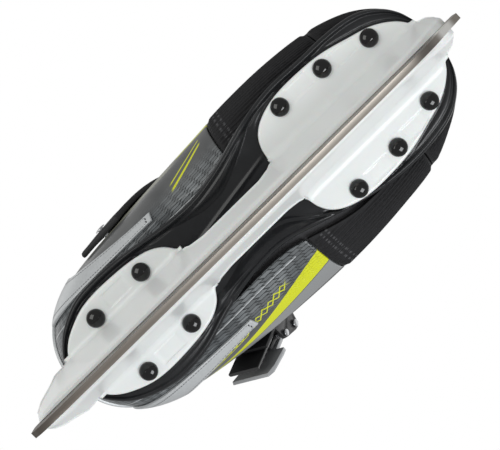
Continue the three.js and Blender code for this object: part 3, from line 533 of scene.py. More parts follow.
class Scatter:
    """Copies of one small solid set on points by a geometry node group."""

    SEED = 7

    def __init__(self, name: str, material: bpy.types.Material) -> None:
        """Builds the node group: points in, turned and sized copies out, all made real."""
        group = bpy.data.node_groups.new(name, "GeometryNodeTree")
        sockets = {
            "Places": "Geometry", "Copy": "Object", "Size": "Float", "Unevenness": "Float",
            "Finish": "Material",
        }
        for label, kind in sockets.items():
            group.interface.new_socket(label, in_out="INPUT", socket_type=f"NodeSocket{kind}")
        group.interface.new_socket("Result", in_out="OUTPUT", socket_type="NodeSocketGeometry")
        start, end, points, info, turn, rotation, spread, lowest, put, real, paint = (
            group.nodes.new(kind)
            for kind in (
                "NodeGroupInput", "NodeGroupOutput", "GeometryNodeMeshToPoints", "GeometryNodeObjectInfo",
                "GeometryNodeInputNamedAttribute", "FunctionNodeEulerToRotation", "FunctionNodeRandomValue",
                "ShaderNodeMath", "GeometryNodeInstanceOnPoints", "GeometryNodeRealizeInstances",
                "GeometryNodeSetMaterial",
            )
        )
        turn.data_type, spread.data_type, lowest.operation = "FLOAT_VECTOR", "FLOAT", "SUBTRACT"
        turn.inputs["Name"].default_value = "turn"
        spread.inputs["Seed"].default_value = self.SEED
        for source, output, target, entry in (
            (start, "Places", points, "Mesh"), (start, "Copy", info, "Object"),
            (points, "Points", put, "Points"), (info, "Geometry", put, "Instance"),
            (turn, "Attribute", rotation, 0), (rotation, 0, put, "Rotation"),
            (start, "Size", lowest, 0), (start, "Unevenness", lowest, 1), (lowest, 0, spread, 2),
            (start, "Size", spread, 3), (spread, 1, put, "Scale"), (put, "Instances", real, "Geometry"),
            (real, "Geometry", paint, "Geometry"), (start, "Finish", paint, "Material"),
            (paint, "Geometry", end, "Result"),
        ):
            group.links.new(source.outputs[output], target.inputs[entry])
        self.group = group
        self.material = material

    def place(
        self,
        name: str,
        copy: Solid,
        places: Array,
        frames: Array,
        slot: str,
        replaces: Sequence[str] = (),
        uneven: float = 0.0,
        body: str = "boot",
    ) -> bpy.types.Object:
        """Sets copies on places and bakes them into one piece.

        Args:
            name: the piece's name.
            copy: the small solid, in millimetres.
            places: where the copies go, in millimetres.
            frames: a 3 by 3 turn for each copy, its axes in the columns.
            slot: the name of a material slot; not used.
            replaces: the CAD nodes that the piece stands for.
            uneven: how much smaller some copies may be, as a share.
            body: the CAD body that the piece rides on.

        Returns:
            The finished piece.
        """
        source = make_object(f"{name}_copy", copy, self.material)
        mesh = bpy.data.meshes.new(f"{name}_places")
        mesh.from_pydata((np.asarray(places, float) * MM).tolist(), [], [])
        turns = [Matrix(np.asarray(turn, float).tolist()).to_euler() for turn in frames]
        layer = mesh.attributes.new("turn", "FLOAT_VECTOR", "POINT")
        layer.data.foreach_set("vector", np.array([tuple(turn) for turn in turns], np.float32).ravel())
        host = linked(f"{name}_host", mesh)
        repeat = host.modifiers.new("Copies", "NODES")
        repeat.node_group = self.group
        wanted = {"Copy": source, "Size": 1.0, "Unevenness": uneven, "Finish": self.material}
        for item in self.group.interface.items_tree:
            if item.in_out == "INPUT" and item.name in wanted:
                repeat[item.identifier] = wanted[item.name]
        host.update_tag()
        baked = baked_mesh(host)
        for used in (host, source):
            bpy.data.objects.remove(used)
        baked.name = name
        LOG.info("%s: %d copies", name, len(places))
        return register(linked(name, baked), replaces, body)


# ---------------------------------------------------------------- shared shapes

FIT = 0.3
SOLE_Z = 52.0
HEEL_LIFT = 7.0
OUTSOLE_T = 4.0
BOOT_BASE_Z = SOLE_Z + 2 * FIT + OUTSOLE_T
RIVET_PLACES = [(106, 21.5, 21.5), (79, 27, 27), (51, 28, 28), (-55, 18, 18), (-87, 20, 17.3)]

RIM = np.array([
    [-117, 3, 3], [-115.5, 10, 10], [-111, 18, 17.5], [-103, 26, 24.5], [-90, 32, 30.5], [-76, 34.5, 32],
    [-58, 33, 31], [-36, 26.5, 27.5], [-14, 22.5, 26], [6, 22, 29], [30, 28.5, 35.5], [52, 35, 39],
    [74, 38.5, 38.5], [94, 38, 38], [110, 34.5, 35], [120, 28, 28.5], [126, 20, 20.5], [129, 11, 11],
    [130, 3, 3],
])
FRONT_FLANGE = np.array([
    [28.5, 10], [30, 19], [34, 26], [42, 31], [54, 33.8], [70, 34], [84, 32.6], [98, 29], [112, 24.5],
    [122, 17.5], [128, 9],
])
REAR_FLANGE = np.array([
    [-113, 7], [-109, 15], [-100, 21.5], [-86, 26.2], [-66, 26.5], [-48, 24], [-39, 19.5], [-34, 13],
    [-32, 8],
])

# Boot sections from the toe: top x, top z, low x, low z, inner and outer half widths, upper and
# lower roundness. Heights are above BOOT_BASE_Z.
SECTIONS = np.array([
    [131, 13.4, 131, 13.4, 0, 0, 1, 1],
    [129.6, 22.4, 129.8, 4.4, 11, 11, 1, 0.9],
    [126, 29.4, 126.5, -0.6, 21.5, 21.5, 0.95, 0.75],
    [118, 36.4, 119, -2.6, 31, 31, 0.9, 0.65],
    [105, 43.4, 107, -3.3, 39.5, 39, 0.88, 0.6],
    [86, 49.4, 88, -3.3, 48, 45, 0.88, 0.6],
    [62, 56.4, 62, -3.3, 52, 48, 0.9, 0.65],
    [40, 64.4, 32, -2.6, 54.5, 48.5, 0.92, 0.78],
    [22, 74.4, -4, -0.6, 55, 47, 0.95, 0.86],
    [8, 86.4, -52, 1.4, 53, 45, 0.98, 0.78],
    [0, 99.4, -98, 0.9, 47.5, 42.5, 1, 0.72],
    [-5, 113.4, -118, 15.4, 43.5, 41, 1, 0.85],
    [-8, 129.4, -118, 49.4, 41, 40, 0.95, 0.95],
    [-9, 146.4, -111, 89.4, 41.5, 40.5, 0.95, 0.95],
    [-7, 163.4, -109, 128.4, 42.5, 41.5, 0.95, 0.95],
    [-3, 179.4, -113, 167.4, 43.5, 42.5, 0.95, 0.95],
    [2, 195.4, -115, 189.4, 44, 43, 0.95, 0.95],
])
WIDEST_SHARE = 0.44
EYELET_U = 3.6 / 48
FACING_EDGE_U = 2 / 48
QUARTER_EDGE_U = 5.2 / 48
LASTING_U = 0.4
WAIST_LASTING_U = 0.432
RAMP_PLAY = 0.15
LACE_ROWS = (6, 6.75, 7.5, 8.2, 11.8, 13)
S_STEP = 0.02
U_STEP = 0.004
NICKEL = (0.55, 0.56, 0.57)
YELLOW = (0.72, 0.76, 0.015)


def lift(x: Array) -> Array:
    """How far the sole has climbed to the heel at x."""
    return HEEL_LIFT * smoothstep(-np.asarray(x, float), -24, 30)


def skin(s: Array, u: Array) -> Array:
    """The boot's outer surface: s counts sections from the toe, u goes round a section."""
    s, u = np.broadcast_arrays(np.asarray(s, float), np.asarray(u, float))
    table = np.column_stack([np.arange(len(SECTIONS)), SECTIONS])
    top_x, top_z, low_x, low_z, inner, outer, top_round, low_round = np.moveaxis(lies(table, s), -1, 0)
    c, d = np.cos(2 * np.pi * u), np.sin(2 * np.pi * u)
    power = np.where(c > 0, top_round, low_round)
    reach = np.sign(c) * np.abs(c) ** power
    along = WIDEST_SHARE + reach * np.where(c > 0, 1 - WIDEST_SHARE, WIDEST_SHARE)
    width = np.where(d > 0, inner, outer) * np.sign(d) * np.abs(d) ** power
    return np.stack(
        [low_x + (top_x - low_x) * along, width, BOOT_BASE_Z + low_z + (top_z - low_z) * along], -1
    )


def skin_normal(s: Array, u: Array) -> Array:
    """The direction out of the boot at (s, u)."""
    s, u = np.broadcast_arrays(np.asarray(s, float), np.asarray(u, float))
    along_s = skin(s + S_STEP, u) - skin(s - S_STEP, u)
    along_u = skin(s, u + U_STEP) - skin(s, u - U_STEP)
    normal = np.cross(along_u, along_s)
    size = np.linalg.norm(normal, axis=-1, keepdims=True)
    normal = np.where(size > 1e-9, normal / np.maximum(size, 1e-9), [1.0, 0.0, 0.0])
    return np.where((s < 0.01)[..., None], [1.0, 0.0, 0.0], normal)


def off_skin(s: Array, u: Array, offset: Array, floor: Optional[float] = None) -> Array:
    """Points off the boot's surface, kept above the sole when a floor is given."""
    points = skin(s, u) + skin_normal(s, u) * np.asarray(offset, float)[..., None]
    if floor is not None:
        lowest = BOOT_BASE_Z + lift(points[..., 0]) + floor
        points[..., 2] = np.maximum(points[..., 2], lowest)
    return points


def skin_frame(s: float, u: float) -> Array:
    """Axes on the boot at (s, u): across the section, along the boot, and out."""
    out = skin_normal(s, u)
    across = skin(s, u + 0.01) - skin(s, u - 0.01)
    across -= out * across.dot(out)
    across /= np.linalg.norm(across)
    return np.column_stack([across, np.cross(out, across), out])


def spaced(low: float, high: float, step: float, edges: Sequence[float] = ()) -> Array:
    """Even places between two limits, with more of them at the given distances from each end."""
    count = max(2, int(round((high - low) / step)) + 1)
    inside = np.linspace(low, high, count)
    near = [low + e for e in edges] + [high - e for e in edges]
    return np.unique(np.round(np.concatenate([inside, near]), 6))


def edge_drop(distance: Array, radius: float) -> Array:
    """How far a rounded edge falls below the face, at a distance from the edge."""
    t = np.clip(1 - np.asarray(distance, float) / radius, 0, 1)
    return radius * (1 - np.sqrt(1 - t * t))


# ---------------------------------------------------------------- blade


@dataclass
class Blade:
    """The ground steel with its two threaded posts."""

    thickness: float = 3.2
    hollow: float = 0.14
    edge: float = 0.06
    top_chamfer: float = 0.3
    post_radius: float = 2.5
    post_foot: float = 29.0
    thread_start: float = 34.0
    thread_pitch: float = 0.8
    thread_depth: float = 0.4
    post_clear: float = 0.6
    post_places: tuple[float, float] = (79, -71)
    flat_half: float = 30.0

    RUNNING_EDGE = [
        (-140, 11), (-135, 5.5), (-126, 2.6), (-95, 1), (-62, 0.4), (-30, 0), (30, 0), (62, 0.4), (92, 1.3),
        (108, 3), (120, 7.5), (129, 15.5), (140, 25),
    ]
    TOP_EDGE = [(-140, 25), (-134, 32), (120, 32), (128, 37), (140, 36)]

    def steel(self) -> Solid:
        """The long plate, with a hollow ground along its running edge."""
        line = smooth_path([(x, 0, z) for x, z in self.RUNNING_EDGE], 0.8)
        x, low = line[:, 0], line[:, 2]
        low = np.where(np.abs(x) < self.flat_half, 0.0, np.maximum(low, 0.0))
        high = lies(self.TOP_EDGE, x, smooth=False)[:, 0]
        half = self.thickness / 2
        across = np.linspace(-1, 1, 9) * (half - self.edge)
        profile = [(y, "low", self.hollow * (1 - (y / half) ** 2)) for y in across]
        profile += [(half, "low", 2 * self.edge), (half, "low", 1.0), (half, "high", -1.0)]
        profile += [(half, "high", -self.top_chamfer), (half - self.top_chamfer, "high", 0.0)]
        profile += [(-half + self.top_chamfer, "high", 0.0), (-half, "high", -self.top_chamfer)]
        profile += [(-half, "high", -1.0), (-half, "low", 1.0), (-half, "low", 2 * self.edge)]
        rings = np.stack(
            [
                np.stack([x, np.full_like(x, y), (low if base == "low" else high) + z], -1)
                for y, base, z in profile
            ],
            1,
        )
        return loft(rings)

    def post(self, x: float, top: float) -> Solid:
        """A threaded post that stands on the steel's top edge."""
        wide, pitch, start = self.post_radius, self.thread_pitch, self.thread_start
        profile = [(0.0, self.post_foot), (wide, self.post_foot), (wide, start)]
        for i in range(int((top - start) / pitch)):
            z = start + i * pitch
            profile += [(wide - self.thread_depth, z + pitch / 2), (wide, z + pitch)]
        profile += [(self.post_radius - 0.5, top), (0.0, top)]
        return turned(profile, 24).moved(np.eye(3), (x, 0, 0))

    def finish(self) -> bpy.types.Material:
        """Ground steel with long grinding marks, a slow change of tone along the blade, and painted
        reflections: painted darker towards the heel, a painted dark band and a painted highlight where the
        toe curves up.
        """
        graph = Graph("ground_steel")
        marks = graph.noise(graph.join(graph.x * 0.02, graph.y * 3.0, graph.z * 0.6), 1.0, 4.0, 0.7)
        fine = graph.noise(graph.join(graph.x * 0.12, graph.y * 9.0, graph.z * 1.5), 1.0, 3.0, 0.6)
        tone = graph.noise(graph.join(graph.x * 0.012, 0.0, 0.0), 1.0, 2.0, 0.5)
        # painted reflection: the steel is painted darker towards the heel and lighter towards the toe
        reflection_toeward = graph.x.ramp(-110.0, 60.0)
        colour = graph.mix(reflection_toeward, (0.16, 0.14, 0.12), (0.46, 0.42, 0.37))
        colour = graph.mix(tone.ramp(0.35, 0.65) * 0.4, colour, (0.30, 0.27, 0.24))
        colour = graph.mix(marks * 0.5, colour, (0.11, 0.10, 0.09))
        # painted reflection: a dark band painted just behind the toe's curve
        colour = graph.mix(graph.x.within(108.0, 119.0, 4.0) * 0.7, colour, (0.10, 0.09, 0.08))
        # painted highlight: a near-white band painted on the toe's curve
        painted_toe_highlight = graph.x.within(124.0, 134.0, 2.5)
        graph.set(
            Base_Color=graph.mix(painted_toe_highlight * 0.9, colour, (0.95, 0.94, 0.90)),
            Metallic=0.85,
            Roughness=0.34 + marks * 0.16,
            Normal=graph.bump(marks * 0.6 + fine * 0.4, 0.03),
        )
        return graph.material

    def build(self) -> None:
        """Adds the finished blade."""
        front, rear = self.post_places
        top = SOLE_Z - self.post_clear
        posts = [self.post(front, top), self.post(rear, top + HEEL_LIFT)]
        add("steel_blade", Solid.joined([self.steel(), *posts]), self.finish(), ["runner"])


# ---------------------------------------------------------------- holder


@dataclass
class Holder:
    """The moulded holder: a slotted wall, two flanges and the towers between them."""

    slot_half: float = 1.66
    slot_top: float = 32.3
    base_half: float = 4.3
    base_z: float = 21.0
    slope: float = 0.34
    wall_half_max: float = 12.0
    flange_t: float = 3.0
    edge_radius: float = 1.3
    pad_depth: float = 0.5
    end_shrink: float = 0.9
    front_fillet: float = 4.2
    rear_fillet: float = 2.6
    slot_mouth: float = 0.35

    WALL = np.array([
        [-135, 19, 30, 0.75], [-131, 19.5, 33, 0.95], [-122, 21, 40, 1], [-114, 21, 51, 1], [-108, 21, 57, 1],
        [-48, 21, 57, 1], [-40, 21, 56, 1], [-34, 21, 49, 1], [-28, 21, 41, 1], [-20, 21, 38, 1],
        [18, 21, 38, 1], [25, 21, 41, 1], [31, 21, 48, 1], [36, 21, 50, 1], [108, 21, 50, 1],
        [118, 22.5, 50, 1], [127, 26, 49, 0.95], [132, 29, 46, 0.8], [134.5, 32, 42, 0.6],
    ])
    PADS = [(92.5, 25.5), (65, 28.6), (-71, 19.5)]

    def ring(self, x: float) -> list:
        """Half of the holder's section at x, from the middle of the slot to the middle of the top."""
        low, high, share = lies(self.WALL, [x], smooth=False)[0]
        table = next((t for t in (FRONT_FLANGE, REAR_FLANGE) if t[0, 0] <= x <= t[-1, 0]), None)
        top = SOLE_Z + (HEEL_LIFT if x < 0 else 0) if table is not None else high
        flared = min(self.base_half + self.slope * (high - self.base_z), self.wall_half_max)
        slope = (flared - self.base_half) / (high - self.base_z)
        wall = lambda z: share * min(self.base_half + slope * (z - self.base_z), flared)
        base = max(wall(low), self.slot_half + 1.3)
        if table is not None:
            under = top - self.flange_t
            meet = max(base, wall(under))
            half = max(float(lies(table, [x])[0, 0]), meet + self.edge_radius + 0.3)
            widest = self.front_fillet if x > 0 else self.rear_fillet
            fillet = min(widest, max(0.2, half - meet - self.edge_radius - 0.2))
            edge = min(self.edge_radius, self.flange_t / 2 - 0.05)
        else:
            under, fillet, edge = high - 2.0, 0.2, 0.6
            meet = max(base, wall(under))
            half = max(meet + 0.45, wall(high))
        slot_top = np.interp(x, [119, 127], [self.slot_top, 38.0])
        points = [(0.0, slot_top), (self.slot_half, slot_top), (self.slot_half, low + self.slot_mouth)]
        points += [(self.slot_half + self.slot_mouth, low), (base - 1.0, low)]
        points += [(base - 1.0 + math.sin(a), low + 1.0 - math.cos(a)) for a in (0.5, 1.0, 1.4)]
        start_z, end_z = low + 1.2, under - fillet
        for t in np.linspace(0, 1, 10):
            z = start_z + (end_z - start_z) * t
            points.append((max(base, wall(z)), z))
        side = points[-1][0]
        reach = max(0.05, half - edge - side)
        span = min(fillet * 1.25, reach * 0.9)
        for a in np.linspace(0, math.pi / 2, 8)[1:]:
            points.append((side + span * (1 - math.cos(a)), end_z + fillet * math.sin(a)))
        for t in np.linspace(0, 1, 32)[1:]:
            y = side + span + (half - edge - side - span) * t
            points.append((y, under + self.pad_relief(x, y) if table is not None else under))
        for a in np.linspace(0, math.pi / 2, 6)[1:]:
            points.append((half - edge + edge * math.sin(a), under + edge * (1 - math.cos(a))))
        for a in np.linspace(0, math.pi / 2, 6):
            points.append((half - edge + edge * math.cos(a), top - edge + edge * math.sin(a)))
        return points + [(half * 0.5, top), (0.0, top)]

    def pad_relief(self, x: float, y: float) -> float:
        """The shallow hollows in the flanges' undersides, between the rivets."""
        return sum(
            self.pad_depth
            * float(smoothstep(1 - max(abs(x - px) / 8.0, abs(y - py) / 4.2), 0.0, 0.18))
            for px, py in self.PADS
        )

    def solid(self) -> Solid:
        """The whole holder, lofted along the skate."""
        ends = [0.05, 0.3, 0.8, 1.6]
        x = np.concatenate([
            spaced(-135, -113.02, 1.1, ends), spaced(-113, -32, 1.0, ends), spaced(-31.98, 28.48, 1.3, ends),
            spaced(28.5, 128, 1.0, ends), spaced(128.02, 134.5, 0.8, ends),
        ])
        rings = []
        for place in x:
            half = self.ring(place)
            whole = half + [(-y, z) for y, z in reversed(half[1:-1])]
            rings.append([(place, y, z) for y, z in whole])
        rings = np.array(rings)
        rings[[0, -1], :, 1] *= self.end_shrink
        return loft(rings)

    def finish(self) -> bpy.types.Material:
        """Glossy white plastic, slightly milky, with faint flow marks."""
        graph = Graph("white_plastic")
        flow = graph.noise(graph.join(graph.x * 0.03, graph.y * 0.06, graph.z * 0.06), 1.0, 3.0)
        grain = graph.noise(graph.points, 1400.0)
        graph.set(
            Base_Color=graph.mix(flow, (0.83, 0.86, 0.845), (0.90, 0.915, 0.91)),
            Roughness=0.27 + flow * 0.10,
            Coat_Weight=0.12,
            Normal=graph.bump(grain, 0.006),
            Subsurface_Weight=0.08,
            Subsurface_Scale=3.0 * MM,
        )
        return graph.material

    def build(self) -> None:
        """Adds the finished holder."""
        add("moulded_holder", self.solid(), self.finish(), ["blade_holder"], sharp=35)


# ---------------------------------------------------------------- rivets


@dataclass
class SoleRivets:
    """Ten clinched rivets with round black heads."""

    head_radius: float = 4.8
    head_height: float = 3.3
    shank_radius: float = 2.0
    tail_radius: float = 3.4
    tail_height: float = 1.2
    flange_t: float = 3.0
    board_t: float = 4.6

    def profile(self) -> list:
        """Radius and height, from the head's crown to the clinched tail; the flange is at zero."""
        grip = OUTSOLE_T + self.flange_t + 2 * FIT + self.board_t
        dome = []
        for angle in np.linspace(0, math.pi / 2, 14):
            out = self.head_radius * math.sin(angle) ** 0.92
            dome.append((out, -self.head_height * math.cos(angle) - FIT))
        return dome + [
            (self.head_radius - 0.1, -FIT), (self.shank_radius, -FIT), (self.shank_radius, grip),
            (self.tail_radius - 0.2, grip), (self.tail_radius, grip + 0.2),
            (self.tail_radius, grip + self.tail_height - 0.3),
            (self.tail_radius - 0.4, grip + self.tail_height), (0.0, grip + self.tail_height),
        ]

    def build(self) -> None:
        """Adds the rivets as one piece."""
        finish = Finish(
            "black_rivet_lacquer", "black_rivet", (0.004, 0.004, 0.004), 0.08,
            grain=0.3, grain_scale=500.0, relief=0.004,
        )
        places = []
        for x, inner, outer in RIVET_PLACES:
            under = SOLE_Z + (HEEL_LIFT if x < 0 else 0) - self.flange_t
            places += [(x, inner, under), (x, -outer, under)]
        nodes = [f"front_rivet_{i}" for i in range(1, 7)] + [f"rear_rivet_{i}" for i in range(1, 5)]
        scatter = Scatter("rivet_repeat", finish.material())
        turns = [np.eye(3)] * len(places)
        scatter.place("sole_rivets", turned(self.profile(), 48), places, turns, finish.slot, nodes)


# ---------------------------------------------------------------- outsole


@dataclass
class Outsole:
    """The black outsole: a bead and channel round its rim, and swells at the waist."""

    thickness: float = OUTSOLE_T
    step: float = 0.9
    columns: int = 150
    edge_radius: float = 1.2

    OUTER_SWELL = np.array([
        [-60, -29, -31], [-41, -25.5, -30], [-17.8, -19.3, -28.5], [-9, -17.6, -28], [2.9, -18.4, -30],
        [19.3, -25.2, -33.5], [30.5, -31, -37], [40, -35, -39],
    ])
    INNER_SWELL = np.array([[-30, 17, 24], [-8, 12, 22.5], [12, 14.5, 24], [28, 25, 30], [43, 33.5, 36]])
    RIDGES = [
        ([[-34, -7], [-30, -7.3], [0, -12], [28, -16.5], [32, -17.5]], 0.9, 0.55),
        ([[-36, 11], [-10, 10.5], [12, 12.6], [26, 22.5], [43, 33.5]], 0.8, 0.8),
        ([[-40, 20], [-14, 18.8], [6, 18.4], [30, 25.4], [46, 33]], 0.7, 0.45),
    ]

    def relief(self, x: Array, y: Array, inner: Array, outer: Array) -> Array:
        """How far the sole's underside stands out, towards the ice."""
        half = np.where(y > 0, inner, outer)
        to_edge = half - np.abs(y)
        plate = np.where(x > 0, lies(FRONT_FLANGE, x)[..., 0], lies(REAR_FLANGE, x)[..., 0])
        beyond = np.abs(y) - plate
        full = smoothstep(half, 8, 20)
        out = 0.75 * bell(to_edge, 1.7, 0.9) * full - 0.45 * bell(to_edge, 3.6, 0.8) * full
        on_plate = smoothstep(x, 30, 42) + smoothstep(-x, 34, 44)
        out -= on_plate * (0.5 * bell(beyond, 1.0, 0.9) * smoothstep(to_edge, 1.0, 2.2))
        waist = (1 - smoothstep(x, 30, 44)) * smoothstep(x, -64, -44)
        for table, sign, height in ((self.OUTER_SWELL, -1, 2.3), (self.INNER_SWELL, 1, 1.5)):
            near, far = np.moveaxis(lies(table, x), -1, 0)
            t = np.clip((y - near) / (far - near), 0, 1)
            out = out + waist * height * np.sin(np.pi * t) ** 0.8 * (beyond > -50) * (sign * y > 0)
        for line, width, height in self.RIDGES:
            middle = lies(np.array(line, float), x)[..., 0]
            start, end = line[0][0], line[-1][0]
            fade = smoothstep(x, start, start + 8) * (1 - smoothstep(x, end - 6, end))
            out = out + height * bell(y, middle, width) * fade
        covered = (beyond < 0.4) & (on_plate > 0.02)
        clear = smoothstep(beyond, 0.2, 1.6)
        return np.where(covered, np.minimum(out, 0), np.where(on_plate > 0.02, out * clear, out))

    def solid(self) -> Solid:
        """The whole outsole, as sections from heel to toe."""
        swing = np.sin(np.linspace(-1, 1, int(247 / self.step)) * math.pi / 2)
        even = np.linspace(-1, 1, len(swing))
        x = 6.5 + 123.5 * (0.65 * even + 0.35 * swing)
        inner, outer = np.moveaxis(lies(RIM, x), -1, 0)
        t = np.linspace(-1, 1, self.columns)
        t = np.sin(t * math.pi / 2) * 0.35 + t * 0.65
        y = np.where(t > 0, inner[:, None] * t, outer[:, None] * t)
        wide = np.broadcast_to(x[:, None], y.shape)
        base = SOLE_Z + FIT + lift(wide)
        half = np.where(y > 0, inner[:, None], outer[:, None])
        drop = edge_drop(half - np.abs(y), self.edge_radius)
        under = base - self.relief(wide, y, inner[:, None], outer[:, None]) + drop
        over = base + self.thickness - 0.3 * (np.abs(t)[None, :] > 0.995)
        low = np.stack([wide, y, np.minimum(under, over - 0.8)], -1)
        high = np.stack([wide, y, over], -1)[:, ::-1]
        return loft(np.concatenate([low, high], 1))

    def finish(self) -> bpy.types.Material:
        """Satin black moulded rubber."""
        graph = Graph("black_outsole")
        grain = graph.noise(graph.points, 1800.0, 2.0)
        wear = graph.noise(graph.points, 90.0, 4.0)
        graph.set(
            Base_Color=graph.mix(wear, (0.010, 0.0105, 0.0115), (0.021, 0.022, 0.024)),
            Roughness=0.17 + wear * 0.14,
            Specular_IOR_Level=0.32,
            Normal=graph.bump(grain, 0.008),
        )
        return graph.material

    def build(self) -> None:
        """Adds the finished outsole."""
        add("moulded_outsole", self.solid(), self.finish(), ["outsole"], sharp=50)


# ---------------------------------------------------------------- boot panels


@dataclass
class Panel:
    """A layer of the boot between two sections, with rounded edges all round."""

    from_s: float
    to_s: float
    from_u: Callable[[Array], Array]
    to_u: Callable[[Array], Array]
    out: float
    inside: float
    out_floor: Optional[float] = None
    in_floor: Optional[float] = None
    rows: int = 120
    columns: int = 120
    edge: float = 0.7
    pole: bool = False
    relief: Optional[Callable[[Array, Array, Array], Array]] = None

    def solid(self) -> Solid:
        """The closed panel, with its s and u stored on the points for the finishes.

        Returns:
            A solid whose values are s (sections), u (share of a turn) and rim (mm from an edge).
        """
        shares = np.linspace(0, 1, self.columns)
        middle_s = (self.from_s + self.to_s) / 2
        width = self._length([(middle_s, self._u(middle_s, share)) for share in np.linspace(0, 1, 40)])
        near = np.array([0.08, 0.25, 0.5, 1.0]) * self.edge / width
        shares = np.unique(np.concatenate([shares, near, 1 - near]))
        middle_u = float(self._u(middle_s, 0.5))
        tall = self._length([(s, middle_u) for s in np.linspace(self.from_s, self.to_s, 40)])
        near = np.array([0.08, 0.25, 0.5, 1.0]) * self.edge / tall
        climbs = np.linspace(0, 1, self.rows)
        ends = 1 - near if self.pole else np.concatenate([near, 1 - near])
        climbs = np.unique(np.concatenate([climbs, ends]))
        s = (self.from_s + (self.to_s - self.from_s) * climbs)[:, None] + 0 * shares[None]
        u = self._u(s, shares[None])
        side = np.minimum(shares, 1 - shares)[None] * width + 0 * s
        end = (1 - climbs if self.pole else np.minimum(climbs, 1 - climbs))[:, None] * tall + 0 * s
        rim = np.minimum(side, end)
        drop = edge_drop(rim, self.edge)
        lifted = self.relief(s, u, rim) if self.relief else 0.0
        outer = off_skin(s, u, self.out - drop + lifted, self.out_floor)
        inner = off_skin(s, u, np.full(s.shape, self.inside), self.in_floor)
        sheet = layered(outer, inner, s=s, u=u, rim=rim)
        sheet.values["rim"][rim.size:] = 0.0
        return sheet

    def _u(self, s: Array, share: Array) -> Array:
        start = self.from_u(np.asarray(s, float))
        return start + (self.to_u(np.asarray(s, float)) - start) * share

    @staticmethod
    def _length(places: Sequence[tuple[float, float]]) -> float:
        s, u = np.array(places, float).T
        return float(np.linalg.norm(np.diff(skin(s, u), axis=0), axis=1).sum())


def steady(value: float) -> Callable[[Array], Array]:
    """The same edge at every section."""
    return lambda s: np.full(np.shape(s), float(value))


def low_edge(s: Array) -> Array:
    """The upper's lower edge: under the foot in front, closed round the heel at the back."""
    wrapped = LASTING_U + (WAIST_LASTING_U - LASTING_U) * smoothstep(s, 6.5, 8)
    return wrapped + (0.4985 - wrapped) * smoothstep(s, 10, 11)


def ribbed(height: float, count: float, slant: float) -> Callable[[Array, Array, Array], Array]:
    """Relief of ribs that run along the boot and fan out from the toe."""

    def relief(s: Array, u: Array, rim: Array) -> Array:
        wave = np.cos(2 * np.pi * (np.abs(u) * count + slant * s))
        return height * (wave * 0.5 + 0.5) ** 0.7 * smoothstep(rim, 0.3, 2.5) * smoothstep(s, 0.6, 1.6)

    return relief


# ---------------------------------------------------------------- boot


